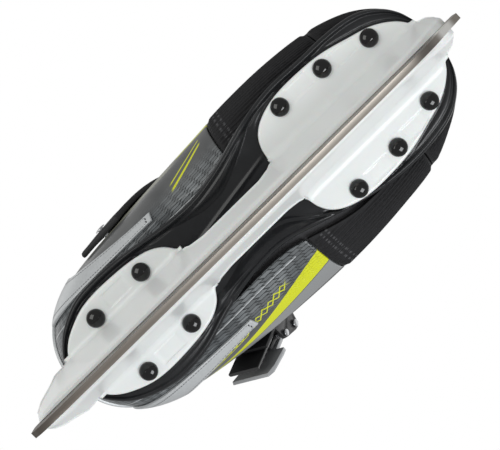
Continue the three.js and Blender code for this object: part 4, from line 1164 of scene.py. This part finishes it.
@dataclass
class Boot:
    """The upper: toe cap, vamps, quarters, facings, heel overlays and tendon guard."""

    upper_t: float = 2.0
    overlay_t: float = 1.4
    overlay_gap: float = 0.4
    toe_end: float = 5.0
    vamp_end: float = 7.5
    seam: float = 0.03
    quarter_top: float = 14.4
    facing_top: float = 14.0
    rib_height: float = 0.9
    rib_count: float = 96.0
    ribbed_edge: float = 0.25
    closed_u: float = 0.492

    def fabric(self) -> bpy.types.Material:
        """Black ribbed fabric with a fine weave and stitched seams near the panel's end."""
        graph = Graph("black_ribbed_fabric")
        s, u = graph.attribute("s"), graph.attribute("u").size()
        weave = (u * 2600.0).sine() * (s * 260.0).sine()
        rough = graph.noise(graph.points, 420.0, 4.0)
        seam = s.within(7.30, 7.34, 0.012).most(s.within(7.20, 7.24, 0.012))
        dots = seam * (u * 900.0).sine().ramp(-0.1, 0.3)
        base = graph.mix(rough, (0.0085, 0.0085, 0.009), (0.024, 0.024, 0.026))
        graph.set(
            Base_Color=graph.mix(dots * 0.35, base, (0.20, 0.20, 0.21)),
            Roughness=0.46 + rough * 0.2,
            Specular_IOR_Level=0.22,
            Normal=graph.bump(weave * 0.3 + rough * 0.5 + dots, 0.12),
        )
        return graph.material

    def shell(self) -> bpy.types.Material:
        """Dark woven-look shell with yellow and grey bands along its sides; near the sole the weave is
        painted lighter, with a painted silver sheen on its threads.
        """
        graph = Graph("woven_look_shell")
        s, signed_u = graph.attribute("s"), graph.attribute("u")
        u = signed_u.size()
        inner = signed_u.above(0.0)
        up = (0.4 - u) * 400.0
        across, along = up * 0.36, s * 6.5 + up * 0.16
        cell = graph.node(
            "ShaderNodeTexBrick",
            {"offset": 0.5},
            {
                "Vector": graph.join(along, across), "Scale": 1.0, "Mortar Size": 0.09, "Mortar Smooth": 0.6,
                "Brick Width": 1.0, "Row Height": 0.9,
                "Color1": (1.0, 1.0, 1.0), "Color2": (0.45, 0.45, 0.45), "Mortar": (0.0, 0.0, 0.0),
            },
        )
        # near the sole the woven look, with its painted silver sheen, takes the place of the smooth shell
        low = up.ramp(24.0, -2.0)
        cloud = graph.noise(graph.points, 34.0, 3.0).ramp(0.3, 0.7)
        # painted sheen: the pale thread colour stands in for silver highlights where the shell faces down
        thread_and_sheen = graph.mix(cloud, (0.085, 0.096, 0.104), (0.27, 0.29, 0.30))
        woven_and_sheen = graph.mix(cell, (0.022, 0.025, 0.027), thread_and_sheen)
        smooth = graph.mix(cloud, (0.075, 0.078, 0.080), (0.135, 0.138, 0.138))
        base = graph.mix(low, smooth, woven_and_sheen)
        seam = up.within(-6.2, -5.4, 0.2) * s.above(7.8)
        base = graph.mix(seam * 0.8, base, (0.62, 0.64, 0.65))
        centre = (s - 7.5) * 12.0 + 8.8
        band_half = (s.ramp(7.5, 9.6) * -5.6) + 7.4
        off_centre = up - centre
        back = s.ramp(8.9, 10.6)
        yellow = graph.mix(back, YELLOW, (0.24, 0.23, 0.06))
        band = off_centre.size().below(band_half) * s.within(7.0, 10.4, 0.03)
        zig = (s * 9.0).zigzag(1.0) * 5.0
        lines = off_centre.within(-9.4, -8.6, 0.15).most(off_centre.within(-12.0, -11.3, 0.15))
        rising = (off_centre + zig).within(-10.4, -9.2, 0.2)
        chevrons = rising.most((off_centre - zig).within(-15.0, -14.0, 0.2))
        chevrons = chevrons.most(lines * s.above(8.9)) * s.within(8.15, 10.1, 0.05)
        grey_strip = off_centre.above(band_half + 0.8) * up.below(43.0)
        inner_look = graph.mix(grey_strip, base, (0.30, 0.31, 0.315))
        inner_look = graph.mix(band.most(chevrons), inner_look, yellow)
        inner_look = graph.mix(up.within(43.0, 56.0, 0.4) * s.below(10.6), inner_look, (0.014, 0.014, 0.015))
        bend = (s - 8.0) * 30.0
        hook = (up - 24.0 + bend).within(-2.0, 0.6, 0.3).most((up - 30.0 + bend).within(-0.8, 0.8, 0.3))
        patch = up.within(48.0, 57.0, 0.5) * s.within(7.5, 8.25, 0.04)
        hook = (hook * s.within(7.75, 8.35, 0.03)).most(patch)
        pale = up.within(41.0, 55.0, 1.0) * s.within(8.3, 11.2, 0.15)
        outer_look = graph.mix(pale, base, (0.33, 0.335, 0.27))
        outer_look = graph.mix(hook, outer_look, YELLOW)
        outer_look = graph.mix(up.within(57.5, 61.5, 0.3) * s.above(8.6), outer_look, (0.030, 0.022, 0.016))
        graph.set(
            Base_Color=graph.mix(inner, outer_look, inner_look),
            Roughness=0.30 + low * cell * 0.10 + cloud * 0.08,
            Coat_Weight=0.25,
            Normal=graph.bump(cell * low, 0.35),
        )
        return graph.material

    def overlay(self) -> bpy.types.Material:
        """Silver overlay with a row of dark stitches inside each edge."""
        graph = Graph("silver_overlay")
        s, u = graph.attribute("s"), graph.attribute("u").size()
        rim = graph.attribute("rim")
        dash = (s * 170.0 + u * 900.0).sine().ramp(-0.5, -0.1)
        stitch = rim.within(2.0, 2.6, 0.15) * dash
        noise = graph.noise(graph.points, 700.0)
        base = graph.mix(noise, (0.50, 0.52, 0.53), (0.64, 0.66, 0.67))
        graph.set(
            Base_Color=graph.mix(stitch, base, (0.035, 0.035, 0.04)),
            Roughness=0.33 + noise * 0.1,
            Metallic=0.25,
            Normal=graph.bump(noise * 0.3 - stitch, 0.12),
        )
        return graph.material

    def toe_low(self, s: Array) -> Array:
        """The toe cap's lower edge, which closes under the tip."""
        return LASTING_U + (self.closed_u - LASTING_U) * (1 - smoothstep(s, 0.9, 2.0))

    def side_edges(self, side: Side) -> tuple[Callable, Callable]:
        """The upper and lower edges of a side panel, in order round the section."""
        top = steady(side.value * QUARTER_EDGE_U)
        low = lambda s: side.value * low_edge(s)
        return (top, low) if side is Side.INNER else (low, top)

    def panel(self, start: float, end: float, edges: tuple, **more: object) -> Solid:
        """A panel of the upper's own layer."""
        return Panel(
            start, end, *edges, 0.0, -self.upper_t, RAMP_PLAY, self.upper_t + RAMP_PLAY, **more
        ).solid()

    def trim(self, start: float, end: float, edges: tuple, **more: object) -> Solid:
        """A panel laid over the upper."""
        return Panel(start, end, *edges, self.overlay_gap + self.overlay_t, self.overlay_gap, **more).solid()

    def build(self) -> None:
        """Adds every panel of the upper."""
        fabric, shell, overlay = self.fabric(), self.shell(), self.overlay()
        toe_ribs = ribbed(self.rib_height, self.rib_count, 0.9)
        toe = self.panel(
            0.0, self.toe_end, (lambda s: -self.toe_low(s), self.toe_low),
            rows=104, columns=440, pole=True, relief=toe_ribs, edge=self.ribbed_edge,
        )
        add("ribbed_toe_cap", toe, fabric, ["toe_cap"], sharp=60)
        for side in Side:
            edges = self.side_edges(side)
            vamp = self.panel(
                self.toe_end + self.seam, self.vamp_end, edges,
                rows=90, columns=260, relief=toe_ribs, edge=self.ribbed_edge,
            )
            add(f"ribbed_vamp_{side.word}", vamp, fabric, [f"vamp_{side.word}"], sharp=60)
            quarter = self.panel(self.vamp_end + self.seam, self.quarter_top, edges, rows=170, columns=150)
            add(f"shell_quarter_{side.word}", quarter, shell, [f"quarter_{side.word}"])
            self.facing(side)
            self.heel_trim(side, overlay)
        counter = self.trim(11.2, 13.2, (steady(0.3), steady(0.7)), rows=60, columns=120)
        add("heel_counter_cover", counter, overlay, ["heel_counter"])
        ridges = lambda s, u, rim: 0.5 * smoothstep(rim, 3, 5) * (0.5 + 0.5 * np.cos(2 * np.pi * s * 2.5))
        guard = self.trim(13.3, 15.9, (steady(0.38), steady(0.62)), rows=110, columns=60, relief=ridges)
        trim = Finish("black_trim_rubber", "black_trim", (0.014, 0.014, 0.015), 0.42)
        add("flex_tendon_guard", guard, trim.material(), ["tendon_guard"])

    def heel_trim(self, side: Side, overlay: bpy.types.Material) -> None:
        """The silver strip along the sole's rim on one side."""
        climb = lambda s: side.value * (0.37 - 0.07 * smoothstep(s, 8.7, 11.12))
        rim = steady(side.value * (LASTING_U - 0.01))
        edges = (climb, rim) if side is Side.INNER else (rim, climb)
        strip = self.trim(8.7, 11.12, edges, rows=90, columns=30)
        add(f"heel_rim_trim_{side.word}", strip, overlay, [f"heel_trim_{side.word}"])

    def facing(self, side: Side) -> None:
        """The facing that carries the eyelets, with a stitched line beside them."""
        near, far = side.value * FACING_EDGE_U, side.value * (QUARTER_EDGE_U - 0.0015)
        low, high = sorted((near, far))
        relief = lambda s, u, rim: -0.25 * bell(rim, 1.9, 0.35)
        strip = self.panel(
            self.toe_end + self.seam, self.facing_top, (steady(low), steady(high)),
            rows=240, columns=26, relief=relief,
        )
        finish = Finish(f"black_facing_{side.word}", "black_trim", (0.013, 0.013, 0.014), 0.38)
        node = f"facing_{side.word}"
        piece = add(f"lace_{node}", strip, finish.material(), [node])
        for s in LACE_ROWS:
            self.bore(piece, s, side.value * EYELET_U)

    @staticmethod
    def bore(piece: bpy.types.Object, s: float, u: float) -> None:
        """Cuts an eyelet's hole through a facing."""
        drill = turned([(0, -8), (3.4, -8), (3.4, 8), (0, 8)], 24).moved(skin_frame(s, u), skin(s, u))
        tool = make_object("drill", drill, piece.data.materials[0])
        cut = piece.modifiers.new("hole", "BOOLEAN")
        cut.object, cut.operation, cut.solver = tool, "DIFFERENCE", "EXACT"
        mesh = baked_mesh(piece)
        piece.modifiers.clear()
        piece.data = mesh
        bpy.data.objects.remove(tool)


# ---------------------------------------------------------------- lacing


@dataclass
class Lacing:
    """Eyelets and the lace that is threaded through them."""

    radius: float = 1.2
    under: float = -3.9
    over: float = 3.2
    bore: float = 2.6
    barrel: float = 3.1
    flange: float = 4.2
    top: float = 1.0
    bottom: float = -2.2
    braid_step: float = 0.7

    def eyelets(self) -> None:
        """Rolled eyelets, twelve copies of one turned ring."""
        outline = [(self.bore, self.bottom), (self.barrel, self.bottom), (self.barrel, FIT)]
        outline.append((self.flange, FIT))
        outline += [(self.flange, 0.5), (self.flange - 0.2, 0.8), (self.flange - 0.6, self.top)]
        outline += [(self.bore + 0.4, self.top), (self.bore + 0.1, 0.85), (self.bore, 0.5)]
        angles = np.linspace(0, 2 * math.pi, 32, endpoint=False)
        rings = np.array([[(r * math.cos(a), r * math.sin(a), z) for r, z in outline] for a in angles])
        count = len(outline)
        faces = grid_faces(len(rings), count, loop=True)
        last = (len(rings) - 1) * count
        faces += [(last + j, j, (j + 1) % count, last + (j + 1) % count) for j in range(count)]
        places, frames, nodes = [], [], []
        for row, s in enumerate(LACE_ROWS):
            for side in Side:
                places.append(skin(s, side.value * EYELET_U))
                frames.append(skin_frame(s, side.value * EYELET_U))
                nodes.append(f"eyelet_{side.word}_{row + 1}")
        metal = Finish("nickel_eyelet", "zinc", NICKEL, 0.28, 1.0)
        scatter = Scatter("eyelet_repeat", metal.material())
        scatter.place("rolled_eyelets", Solid.of(rings, faces), places, frames, "zinc", nodes)

    def path(self) -> Array:
        """The lace's centre line, climbing the boot like a ladder."""
        points = [off_skin(LACE_ROWS[0] - 0.5, -EYELET_U, self.under)]
        for row, s in enumerate(LACE_ROWS):
            start = -1 if row % 2 == 0 else 1
            hole = lambda side: [off_skin(s, side * EYELET_U, height) for height in (self.under + 0.4, 1.2)]
            crossing = [
                off_skin(s, start * share * EYELET_U, self.over + (0.2 if abs(share) > 0.5 else 0))
                for share in (0.8, 0.4, 0, -0.4, -0.8)
            ]
            points += [*hole(start), *crossing, *hole(-start)[::-1]]
            if row + 1 < len(LACE_ROWS):
                high = LACE_ROWS[row + 1]
                count = max(1, round((high - s - 0.4) / 0.6))
                run = np.linspace(s + 0.2, high - 0.2, count + 1)
                points += [off_skin(place, -start * EYELET_U, self.under) for place in run]
            else:
                points.append(off_skin(s + 0.3, -start * EYELET_U, self.under))
        return np.array(points)

    def finish(self) -> bpy.types.Material:
        """A yellow braided lace."""
        graph = Graph("braided_lace")
        along, around = graph.attribute("along"), graph.attribute("around")
        plait = (along * 4.2 + around * 4.0).sine() * (along * 4.2 - around * 4.0).sine()
        graph.set(
            Base_Color=graph.mix(plait.ramp(-0.7, 0.7), (0.46, 0.50, 0.015), (0.78, 0.84, 0.03)),
            Roughness=0.7,
            Normal=graph.bump(plait, 0.18),
        )
        return graph.material

    def build(self) -> None:
        """Adds the eyelets and the lace."""
        self.eyelets()
        path = self.path()
        fine = smooth_path(path, self.braid_step)
        add("braided_lace", tube(fine, self.radius * 0.97, 14), self.finish(), ["lace"], sharp=80)


# ---------------------------------------------------------------- soft lining


@dataclass
class Lining:
    """The padded liner, tongue and footbed."""

    liner_ends: tuple[float, float] = (3.0, 15.1)
    liner_out: float = -2.95
    liner_in: float = -7.25
    out_floor: float = 6.1
    in_floor: float = 8.1
    liner_edge: float = 1.6
    tongue_ends: tuple[float, float] = (5.4, 15.9)
    tongue_half_u: float = 4.6 / 48
    tongue_out: float = -5.4
    tongue_in: float = -10.4
    footbed_inset: float = 13.0
    footbed_t: float = 4.0

    def cloth(self, name: str, colour: Colour) -> bpy.types.Material:
        """A knitted lining cloth."""
        graph = Graph(name)
        s, u = graph.attribute("s"), graph.attribute("u")
        knit = (u * 1500.0 + (s * 200.0).sine() * 0.6).sine() * (s * 200.0).sine()
        fluff = graph.noise(graph.points, 800.0, 4.0)
        darker = tuple(channel * 0.55 for channel in colour)
        graph.set(
            Base_Color=graph.mix(fluff * 0.6 + knit.ramp(-1.0, 1.0) * 0.4, darker, colour),
            Roughness=0.85,
            Sheen_Weight=0.25,
            Normal=graph.bump(knit * 0.5 + fluff * 0.5, 0.16),
        )
        return graph.material

    def liner(self) -> Solid:
        """The liner, one layer round the foot, thicker in quilted cells at the ankle."""
        edge = QUARTER_EDGE_U + 0.004
        first, last = self.liner_ends
        s = np.unique(np.concatenate([np.linspace(first, last, 150), [3.01, 3.03, 15.05, 15.08]]))[:, None]
        share = np.linspace(-1, 1, 300)[None, :]
        to_edge = np.abs(share)
        half = edge + (0.5 - edge) * (1 - to_edge)
        u = np.where(share > 0, 1 - half, half) + 0 * s
        swell = 0.35 * smoothstep(s, 9, 10.5) * np.cos(2 * np.pi * s * 1.5) ** 2 - 0.35
        swell = swell * smoothstep(1 - to_edge, 0.0, 0.03)
        end = np.minimum(s - first, last - s) * 22 + 0 * share
        side = (1 - to_edge) * 150 + 0 * s
        drop = edge_drop(np.minimum(end, side), self.liner_edge)
        outer = off_skin(s, u, self.liner_out - drop, self.out_floor)
        inner = off_skin(s, u, self.liner_in + drop + swell, self.in_floor)
        return layered(outer, inner, s=s, u=u)

    def footbed(self) -> Solid:
        """The footbed: a cupped pad with rounded edges."""
        inset, thick = self.footbed_inset, self.footbed_t
        low = BOOT_BASE_Z + self.in_floor + 0.95 + FIT
        span = np.array([RIM[0, 0] + inset, RIM[-1, 0] - inset])
        swing = np.sin(np.linspace(-1, 1, 140) * math.pi / 2)
        x = span.mean() + (span[1] - span[0]) / 2 * swing
        stretch = (RIM[-1, 0] - RIM[0, 0]) / (span[1] - span[0])
        widths = lies(RIM, span.mean() + (x - span.mean()) * stretch)
        widths = widths - inset * np.minimum(1, widths / 22.0)
        t = np.sin(np.linspace(-1, 1, 50) * math.pi / 2)
        y = np.where(t > 0, widths[:, :1] * t, widths[:, 1:] * t)
        wide = np.broadcast_to(x[:, None], y.shape)
        to_edge = np.where(t > 0, widths[:, :1], widths[:, 1:]) - np.abs(y)
        base = low + lift(wide)
        drop = edge_drop(to_edge, 1.4)
        dish = 0.5 * smoothstep(to_edge, 2, 9)
        under = np.stack([wide, y, base + drop * 0.7], -1)
        over = np.stack([wide, y, base + thick - drop - dish], -1)[:, ::-1]
        u = np.broadcast_to(t, y.shape)
        return loft(
            np.concatenate([under, over], 1),
            s=np.concatenate([wide, wide[:, ::-1]], 1) / 20.0,
            u=np.concatenate([u, u[:, ::-1]], 1) / 12.0,
        )

    def build(self) -> None:
        """Adds the three soft pieces."""
        grey = self.cloth("grey_lining_cloth", (0.10, 0.10, 0.105))
        black = self.cloth("black_tongue_cloth", (0.030, 0.030, 0.032))
        liner = add("quilted_liner", self.liner(), grey, ["liner"], sharp=70)
        swell = lambda s, u, rim: 0.6 * smoothstep(rim, 2, 7) * np.cos(np.pi * s * 1.2) ** 2 - 0.6
        tongue = Panel(
            *self.tongue_ends, steady(-self.tongue_half_u), steady(self.tongue_half_u),
            self.tongue_out, self.tongue_in,
            rows=200, columns=50, edge=1.8, relief=swell,
        )
        piece = add("padded_tongue", tongue.solid(), black, ["tongue"], sharp=70)
        bed = add("cupped_footbed", self.footbed(), grey, ["footbed"], sharp=60)


# ---------------------------------------------------------------- strap and buckle


@dataclass
class Strap:
    """The ankle strap: a padded band, a toothed ladder and a ratchet buckle."""

    section: float = 9.7
    half: float = 14.0
    thickness: float = 3.5
    gap: float = 0.95
    ends: tuple[float, float] = (-0.29, 0.102)
    ladder_half: float = 10.0
    ladder_t: float = 2.0
    tooth_height: float = 1.2
    tooth_pitch: float = 4.0
    ladder_z: float = 4.1
    buckle_u: float = 0.205
    buckle_front: float = 20.0
    buckle_rear: float = -22.0
    rivet_head: float = 3.2
    rivet_shank: float = 1.6
    rivet_dome: float = 0.9

    def edge(self, u: Array, across: Array) -> Array:
        """The section at a distance across the strap, in millimetres."""
        spread = np.linalg.norm(skin(self.section + 0.05, u) - skin(self.section - 0.05, u), axis=-1) / 0.1
        return self.section + across / spread

    def pad(self) -> Solid:
        """The soft band that lies over the instep."""
        u = np.linspace(*self.ends, 260)[:, None]
        across = spaced(-self.half, self.half, 0.7, (0.15, 0.4))[None, :]
        s = self.edge(u, across)
        rim = np.minimum(self.half - np.abs(across), np.minimum(u - self.ends[0], self.ends[1] - u) * 300)
        drop = edge_drop(rim, 1.2)
        channel = 0.5 * bell(rim, 3.0, 0.5)
        swell = 0.3 * smoothstep(rim, 3.5, 8) - 0.3
        base = self.gap + self.thickness
        outer = off_skin(s, u, base - drop - channel + swell)
        inner = off_skin(s, u, self.gap + drop * 0.4)
        return layered(outer, inner, s=s, u=u, rim=rim)

    def buckle_frame(self) -> tuple[Array, Array]:
        """The buckle's axes (along, across, out) in the columns, and its origin."""
        out = skin_normal(self.section, self.buckle_u)
        along = skin(self.section, self.buckle_u - 0.01) - skin(self.section, self.buckle_u)
        along -= out * along.dot(out)
        along /= np.linalg.norm(along)
        return np.column_stack([along, np.cross(out, along), out]), skin(self.section, self.buckle_u)

    def ladder(self) -> Solid:
        """The ladder's smooth band; its teeth are set on it afterwards."""
        turn, place = self.buckle_frame()
        across = np.array([-1, -0.97, -0.9, -0.5, 0, 0.5, 0.9, 0.97, 1]) * self.ladder_half
        drop = edge_drop(self.ladder_half - np.abs(across), 0.7)
        low, high = [], []
        z = self.ladder_z
        for x in np.linspace(self.buckle_rear - 12, self.buckle_front + 2, 40):
            low.append([turn @ (x, y, z + d * 0.6) + place for y, d in zip(across, drop)])
            high.append([turn @ (x, y, z + self.ladder_t - d) + place for y, d in zip(across, drop)])
        rest = 2 * self.gap + self.thickness - FIT
        for u in np.linspace(self.ends[1] + 0.012, 0.045, 26):
            s = self.edge(np.array(u), -across)
            low.append(off_skin(s, np.full(s.shape, u), rest + drop * 0.6))
            high.append(off_skin(s, np.full(s.shape, u), rest + self.ladder_t - drop))
        low, high = self.eased(np.array(low)), self.eased(np.array(high))
        return loft(np.concatenate([high, low[:, ::-1]], 1))

    @staticmethod
    def eased(lines: Array) -> Array:
        """The rows of a band with its bends rounded."""
        eased = lines.copy()
        for _ in range(3):
            eased[1:-1] = (eased[:-2] + 2 * eased[1:-1] + eased[2:]) / 4
        return eased

    def teeth(self, material: bpy.types.Material) -> None:
        """The ladder's teeth, each one a wedge across the band."""
        w, h, p = self.ladder_half - 1.2, self.tooth_height, self.tooth_pitch * 0.42
        side = [(-p, -0.25), (p, -0.25), (p, 0.1), (0.5, h), (0.1, h + 0.05), (-0.3, h - 0.05), (-p, 0.05)]
        rings = [[(x * 0.8, -w, z * 0.85) for x, z in side], [(x, -w + 0.4, z) for x, z in side]]
        rings += [[(x, w - 0.4, z) for x, z in side], [(x * 0.8, w, z * 0.85) for x, z in side]]
        turn, place = self.buckle_frame()
        steps = np.arange(self.buckle_rear - 12 + 2, self.buckle_front, self.tooth_pitch)
        places = [turn @ (x, 0, self.ladder_z + self.ladder_t) + place for x in steps]
        scatter = Scatter("ladder_tooth_repeat", material)
        scatter.place("ladder_teeth", loft(np.array(rings)), places, [turn] * len(places), "strap_white")

    def rivet(self, name: str, turn: Array, place: Array, under: float, length: float) -> None:
        """A small domed rivet that holds the strap or the buckle."""
        angles = (0.3, 0.6, 0.9, 1.15, 1.35, 1.5)
        head, shank, dome, end = self.rivet_head, self.rivet_shank, self.rivet_dome, under - length
        profile = [(0, under + dome)]
        profile += [(head * math.sin(a), under + dome * math.cos(a) ** 0.8) for a in angles]
        profile += [(head, under), (shank, under), (shank, end + 0.2), (shank - 0.3, end)]
        profile += [(0, end)]
        metal = Finish(f"{name}_nickel", "zinc", NICKEL, 0.25, 1.0)
        solid = turned(profile, 40).moved(turn, place)
        add(f"{name}_cap", solid, metal.material(), [name])

    def softened(self, node: str, name: str, finish: Finish, bevel: float, body: str = "boot") -> None:
        """A finished copy of a hard node with its edges rounded."""
        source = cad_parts[node]
        work = bmesh.new()
        work.from_mesh(source.data)
        bmesh.ops.remove_doubles(work, verts=work.verts, dist=2e-6)
        bmesh.ops.dissolve_limit(work, angle_limit=math.radians(2), verts=work.verts, edges=work.edges)
        mesh = bpy.data.meshes.new(name)
        work.to_mesh(mesh)
        work.free()
        mesh.materials.clear()
        mesh.materials.append(finish.material())
        piece = linked(name, mesh)
        round_edges = piece.modifiers.new("rounded", "BEVEL")
        round_edges.width, round_edges.segments = bevel * MM, 3
        round_edges.limit_method, round_edges.angle_limit = "ANGLE", math.radians(28)
        baked = baked_mesh(piece)
        piece.modifiers.clear()
        piece.data = baked
        baked.shade_smooth()
        baked.set_sharp_from_angle(angle=math.radians(34))
        register(piece, [node], body)

    def build(self) -> None:
        """Adds the strap, the ladder and the buckle."""
        webbing = Graph("strap_webbing")
        s, u, rim = webbing.attribute("s"), webbing.attribute("u"), webbing.attribute("rim")
        weave = (u * 1900.0).sine() * (s * 300.0).sine()
        stitch = rim.within(2.7, 3.3, 0.15) * (s * 190.0 + u * 1100.0).sine().ramp(-0.4, 0.0)
        webbing.set(
            Base_Color=webbing.mix(stitch, (0.016, 0.016, 0.017), (0.50, 0.51, 0.52)),
            Roughness=0.62,
            Normal=webbing.bump(weave * 0.5 + stitch, 0.12),
        )
        pad = add("quilted_strap_pad", self.pad(), webbing.material, ["strap_pad"], sharp=70)
        band = Finish("black_ladder", "strap_white", (0.022, 0.022, 0.023), 0.32, coat=0.2).material()
        add("ladder_band", self.ladder(), band, ["ladder_strap"])
        self.teeth(band)
        turn, place = self.buckle_frame()
        self.rivet("buckle_rivet", turn, place, 2.9, 4.6)
        strap_u = self.ends[0] + 0.018
        under = self.gap + self.thickness + FIT
        turn, place = skin_frame(self.section, strap_u), skin(self.section, strap_u)
        self.rivet("strap_rivet", turn, place, under, under + 2)
        silver = Finish("buckle_shell_grey", "silver_trim", (0.40, 0.41, 0.42), 0.16, 0.1, coat=0.5)
        plate = Finish("buckle_plate_black", "black_trim", (0.018, 0.018, 0.019), 0.3)
        nickel = Finish("pin_nickel", "zinc", NICKEL, 0.25, 1.0)
        self.softened("buckle_base", "buckle_frame_plate", plate, 0.35)
        self.softened("buckle_lever", "buckle_lever_arm", silver, 0.4, "lever")
        self.softened("release_pawl", "release_pawl_arm", plate, 0.3, "pawl")
        self.softened("lever_pin", "lever_pin_turned", nickel, 0.2)
        self.softened("pawl_pin", "pawl_pin_turned", nickel, 0.2)


# ---------------------------------------------------------------- carried-over pieces


def dress_kept_nodes() -> None:
    """Gives every CAD node that is still shown a material of its own."""
    zinc = Finish("zinc_plate", "zinc", (0.50, 0.52, 0.54), 0.34, 1.0, 0.25, 300.0).material()
    spring = Finish("spring_steel_wire", "spring_steel", (0.30, 0.30, 0.31), 0.3, 1.0).material()
    board = Finish("fibre_board", "board", (0.20, 0.13, 0.075), 0.85, 0.0, 0.4, 260.0, 0.06).material()
    groups = {
        "zinc": (zinc, ["runner_washer_front", "runner_washer_rear", "runner_nut_front", "runner_nut_rear"]),
        "spring_steel": (spring, ["lever_spring", "pawl_spring"]),
        "board": (board, ["insole_board"]),
    }
    for slot, (material, names) in groups.items():
        for name in names:
            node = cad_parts[name]
            node.data.materials.clear()
            node.data.materials.append(material)


# ---------------------------------------------------------------- studio


@dataclass
class Studio:
    """A pale floor that is seen only from above, soft lights all round, and the camera."""

    camera_place: tuple[float, float, float] = (0.0, -0.0367, -0.599)
    camera_aim: tuple[float, float, float] = (0.0, 0.0, 0.0)
    picture_right: tuple[float, float, float] = (0.7121, 0.7021, 0.0)
    lens: float = 95.0
    sensor: float = 36.0
    surround: float = 0.42
    floor_half: float = 2.5

    def floor(self) -> None:
        """A plain pale floor whose underside is clear, so that the skate is seen from below."""
        mesh = bpy.data.meshes.new("floor")
        w = self.floor_half
        mesh.from_pydata([(-w, -w, 0), (w, -w, 0), (w, w, 0), (-w, w, 0)], [], [(0, 1, 2, 3)])
        floor = linked("floor", mesh)
        graph = Graph("pale_floor")
        noise = graph.noise(graph.points, 6.0)
        graph.set(Base_Color=graph.mix(noise, (0.86, 0.86, 0.86), (0.90, 0.90, 0.90)), Roughness=0.6)
        clear = graph.node("ShaderNodeBsdfTransparent")
        facing = graph.node("ShaderNodeNewGeometry", output="Backfacing")
        solid = Wire(graph, graph.surface.outputs[0])
        blend = graph.node("ShaderNodeMixShader", sockets={0: facing, 1: solid, 2: clear})
        graph.put(graph.output.inputs["Surface"], blend)
        mesh.materials.append(graph.material)
        floor.visible_shadow = floor.visible_glossy = floor.visible_diffuse = False
        floor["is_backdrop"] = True

    def light(self, name: str, place: tuple, size: float, power: float, colour: Colour = (1, 1, 1)) -> None:
        """A soft square lamp that points at the skate."""
        lamp = bpy.data.lights.new(name, "AREA")
        lamp.energy, lamp.size, lamp.color = power, size, colour
        holder = linked(name, lamp)
        holder.location = place
        aim = Vector((0, 0, 0.08)) - Vector(place)
        holder.rotation_euler = aim.to_track_quat("-Z", "Y").to_euler()
        holder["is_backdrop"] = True

    def world(self) -> None:
        """A near-white surround."""
        world = bpy.data.worlds.new("surround")
        world.use_nodes = True
        nodes, link = world.node_tree.nodes, world.node_tree.links.new
        seen = nodes.new("ShaderNodeLightPath").outputs["Is Camera Ray"]
        strength = nodes.new("ShaderNodeMapRange")
        link(seen, strength.inputs["Value"])
        strength.inputs["To Min"].default_value = self.surround
        strength.inputs["To Max"].default_value = 1.0
        back = nodes["Background"]
        back.inputs[0].default_value = (1.0, 1.0, 1.0, 1.0)
        link(strength.outputs[0], back.inputs[1])
        bpy.context.scene.world = world
        bpy.context.scene.view_settings.view_transform = "Standard"

    def camera(self) -> None:
        """The camera under the skate, looking up."""
        place = Vector(self.camera_place)
        out = (place - Vector(self.camera_aim)).normalized()
        right = Vector(self.picture_right)
        right = (right - out * right.dot(out)).normalized()
        up = out.cross(right)
        camera = bpy.data.cameras.new("camera")
        camera.lens, camera.sensor_width = self.lens, self.sensor
        camera.clip_start = 0.01
        holder = linked("camera", camera)
        holder.matrix_world = Matrix.Translation(place) @ Matrix((right, up, out)).transposed().to_4x4()
        bpy.context.scene.camera = holder

    def build(self) -> None:
        """Adds the floor, lights, surround and camera."""
        self.floor()
        self.light("key_below", (0.22, 0.62, -1.0), 0.6, 8.5, (0.96, 0.98, 1.0))
        self.light("fill_below", (-0.45, -0.7, -0.9), 0.8, 5.5, (1.0, 1.0, 0.97))
        self.light("top_left", (-0.8, -0.9, 1.1), 1.2, 3.0)
        self.light("top_right", (0.9, 0.8, 1.0), 1.0, 3.0)
        self.world()
        self.camera()


def write_sizes() -> None:
    """Works out the finished model's box and the CAD box."""
    low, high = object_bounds()
    cad_low, cad_high = CAD_BOX
    plain = lambda corner: [float(value) for value in corner]
    boxes = {"visual": [plain(low), plain(high)], "cad": [plain(cad_low), plain(cad_high)]}


def main() -> None:
    """Builds the skate and its studio."""
    logging.basicConfig(level=logging.INFO, format="%(message)s")
    Blade().build()
    Holder().build()
    SoleRivets().build()
    Outsole().build()
    Boot().build()
    Lacing().build()
    Lining().build()
    Strap().build()
    dress_kept_nodes()
    Studio().build()
    write_sizes()


if __name__ == "__main__":
    main()
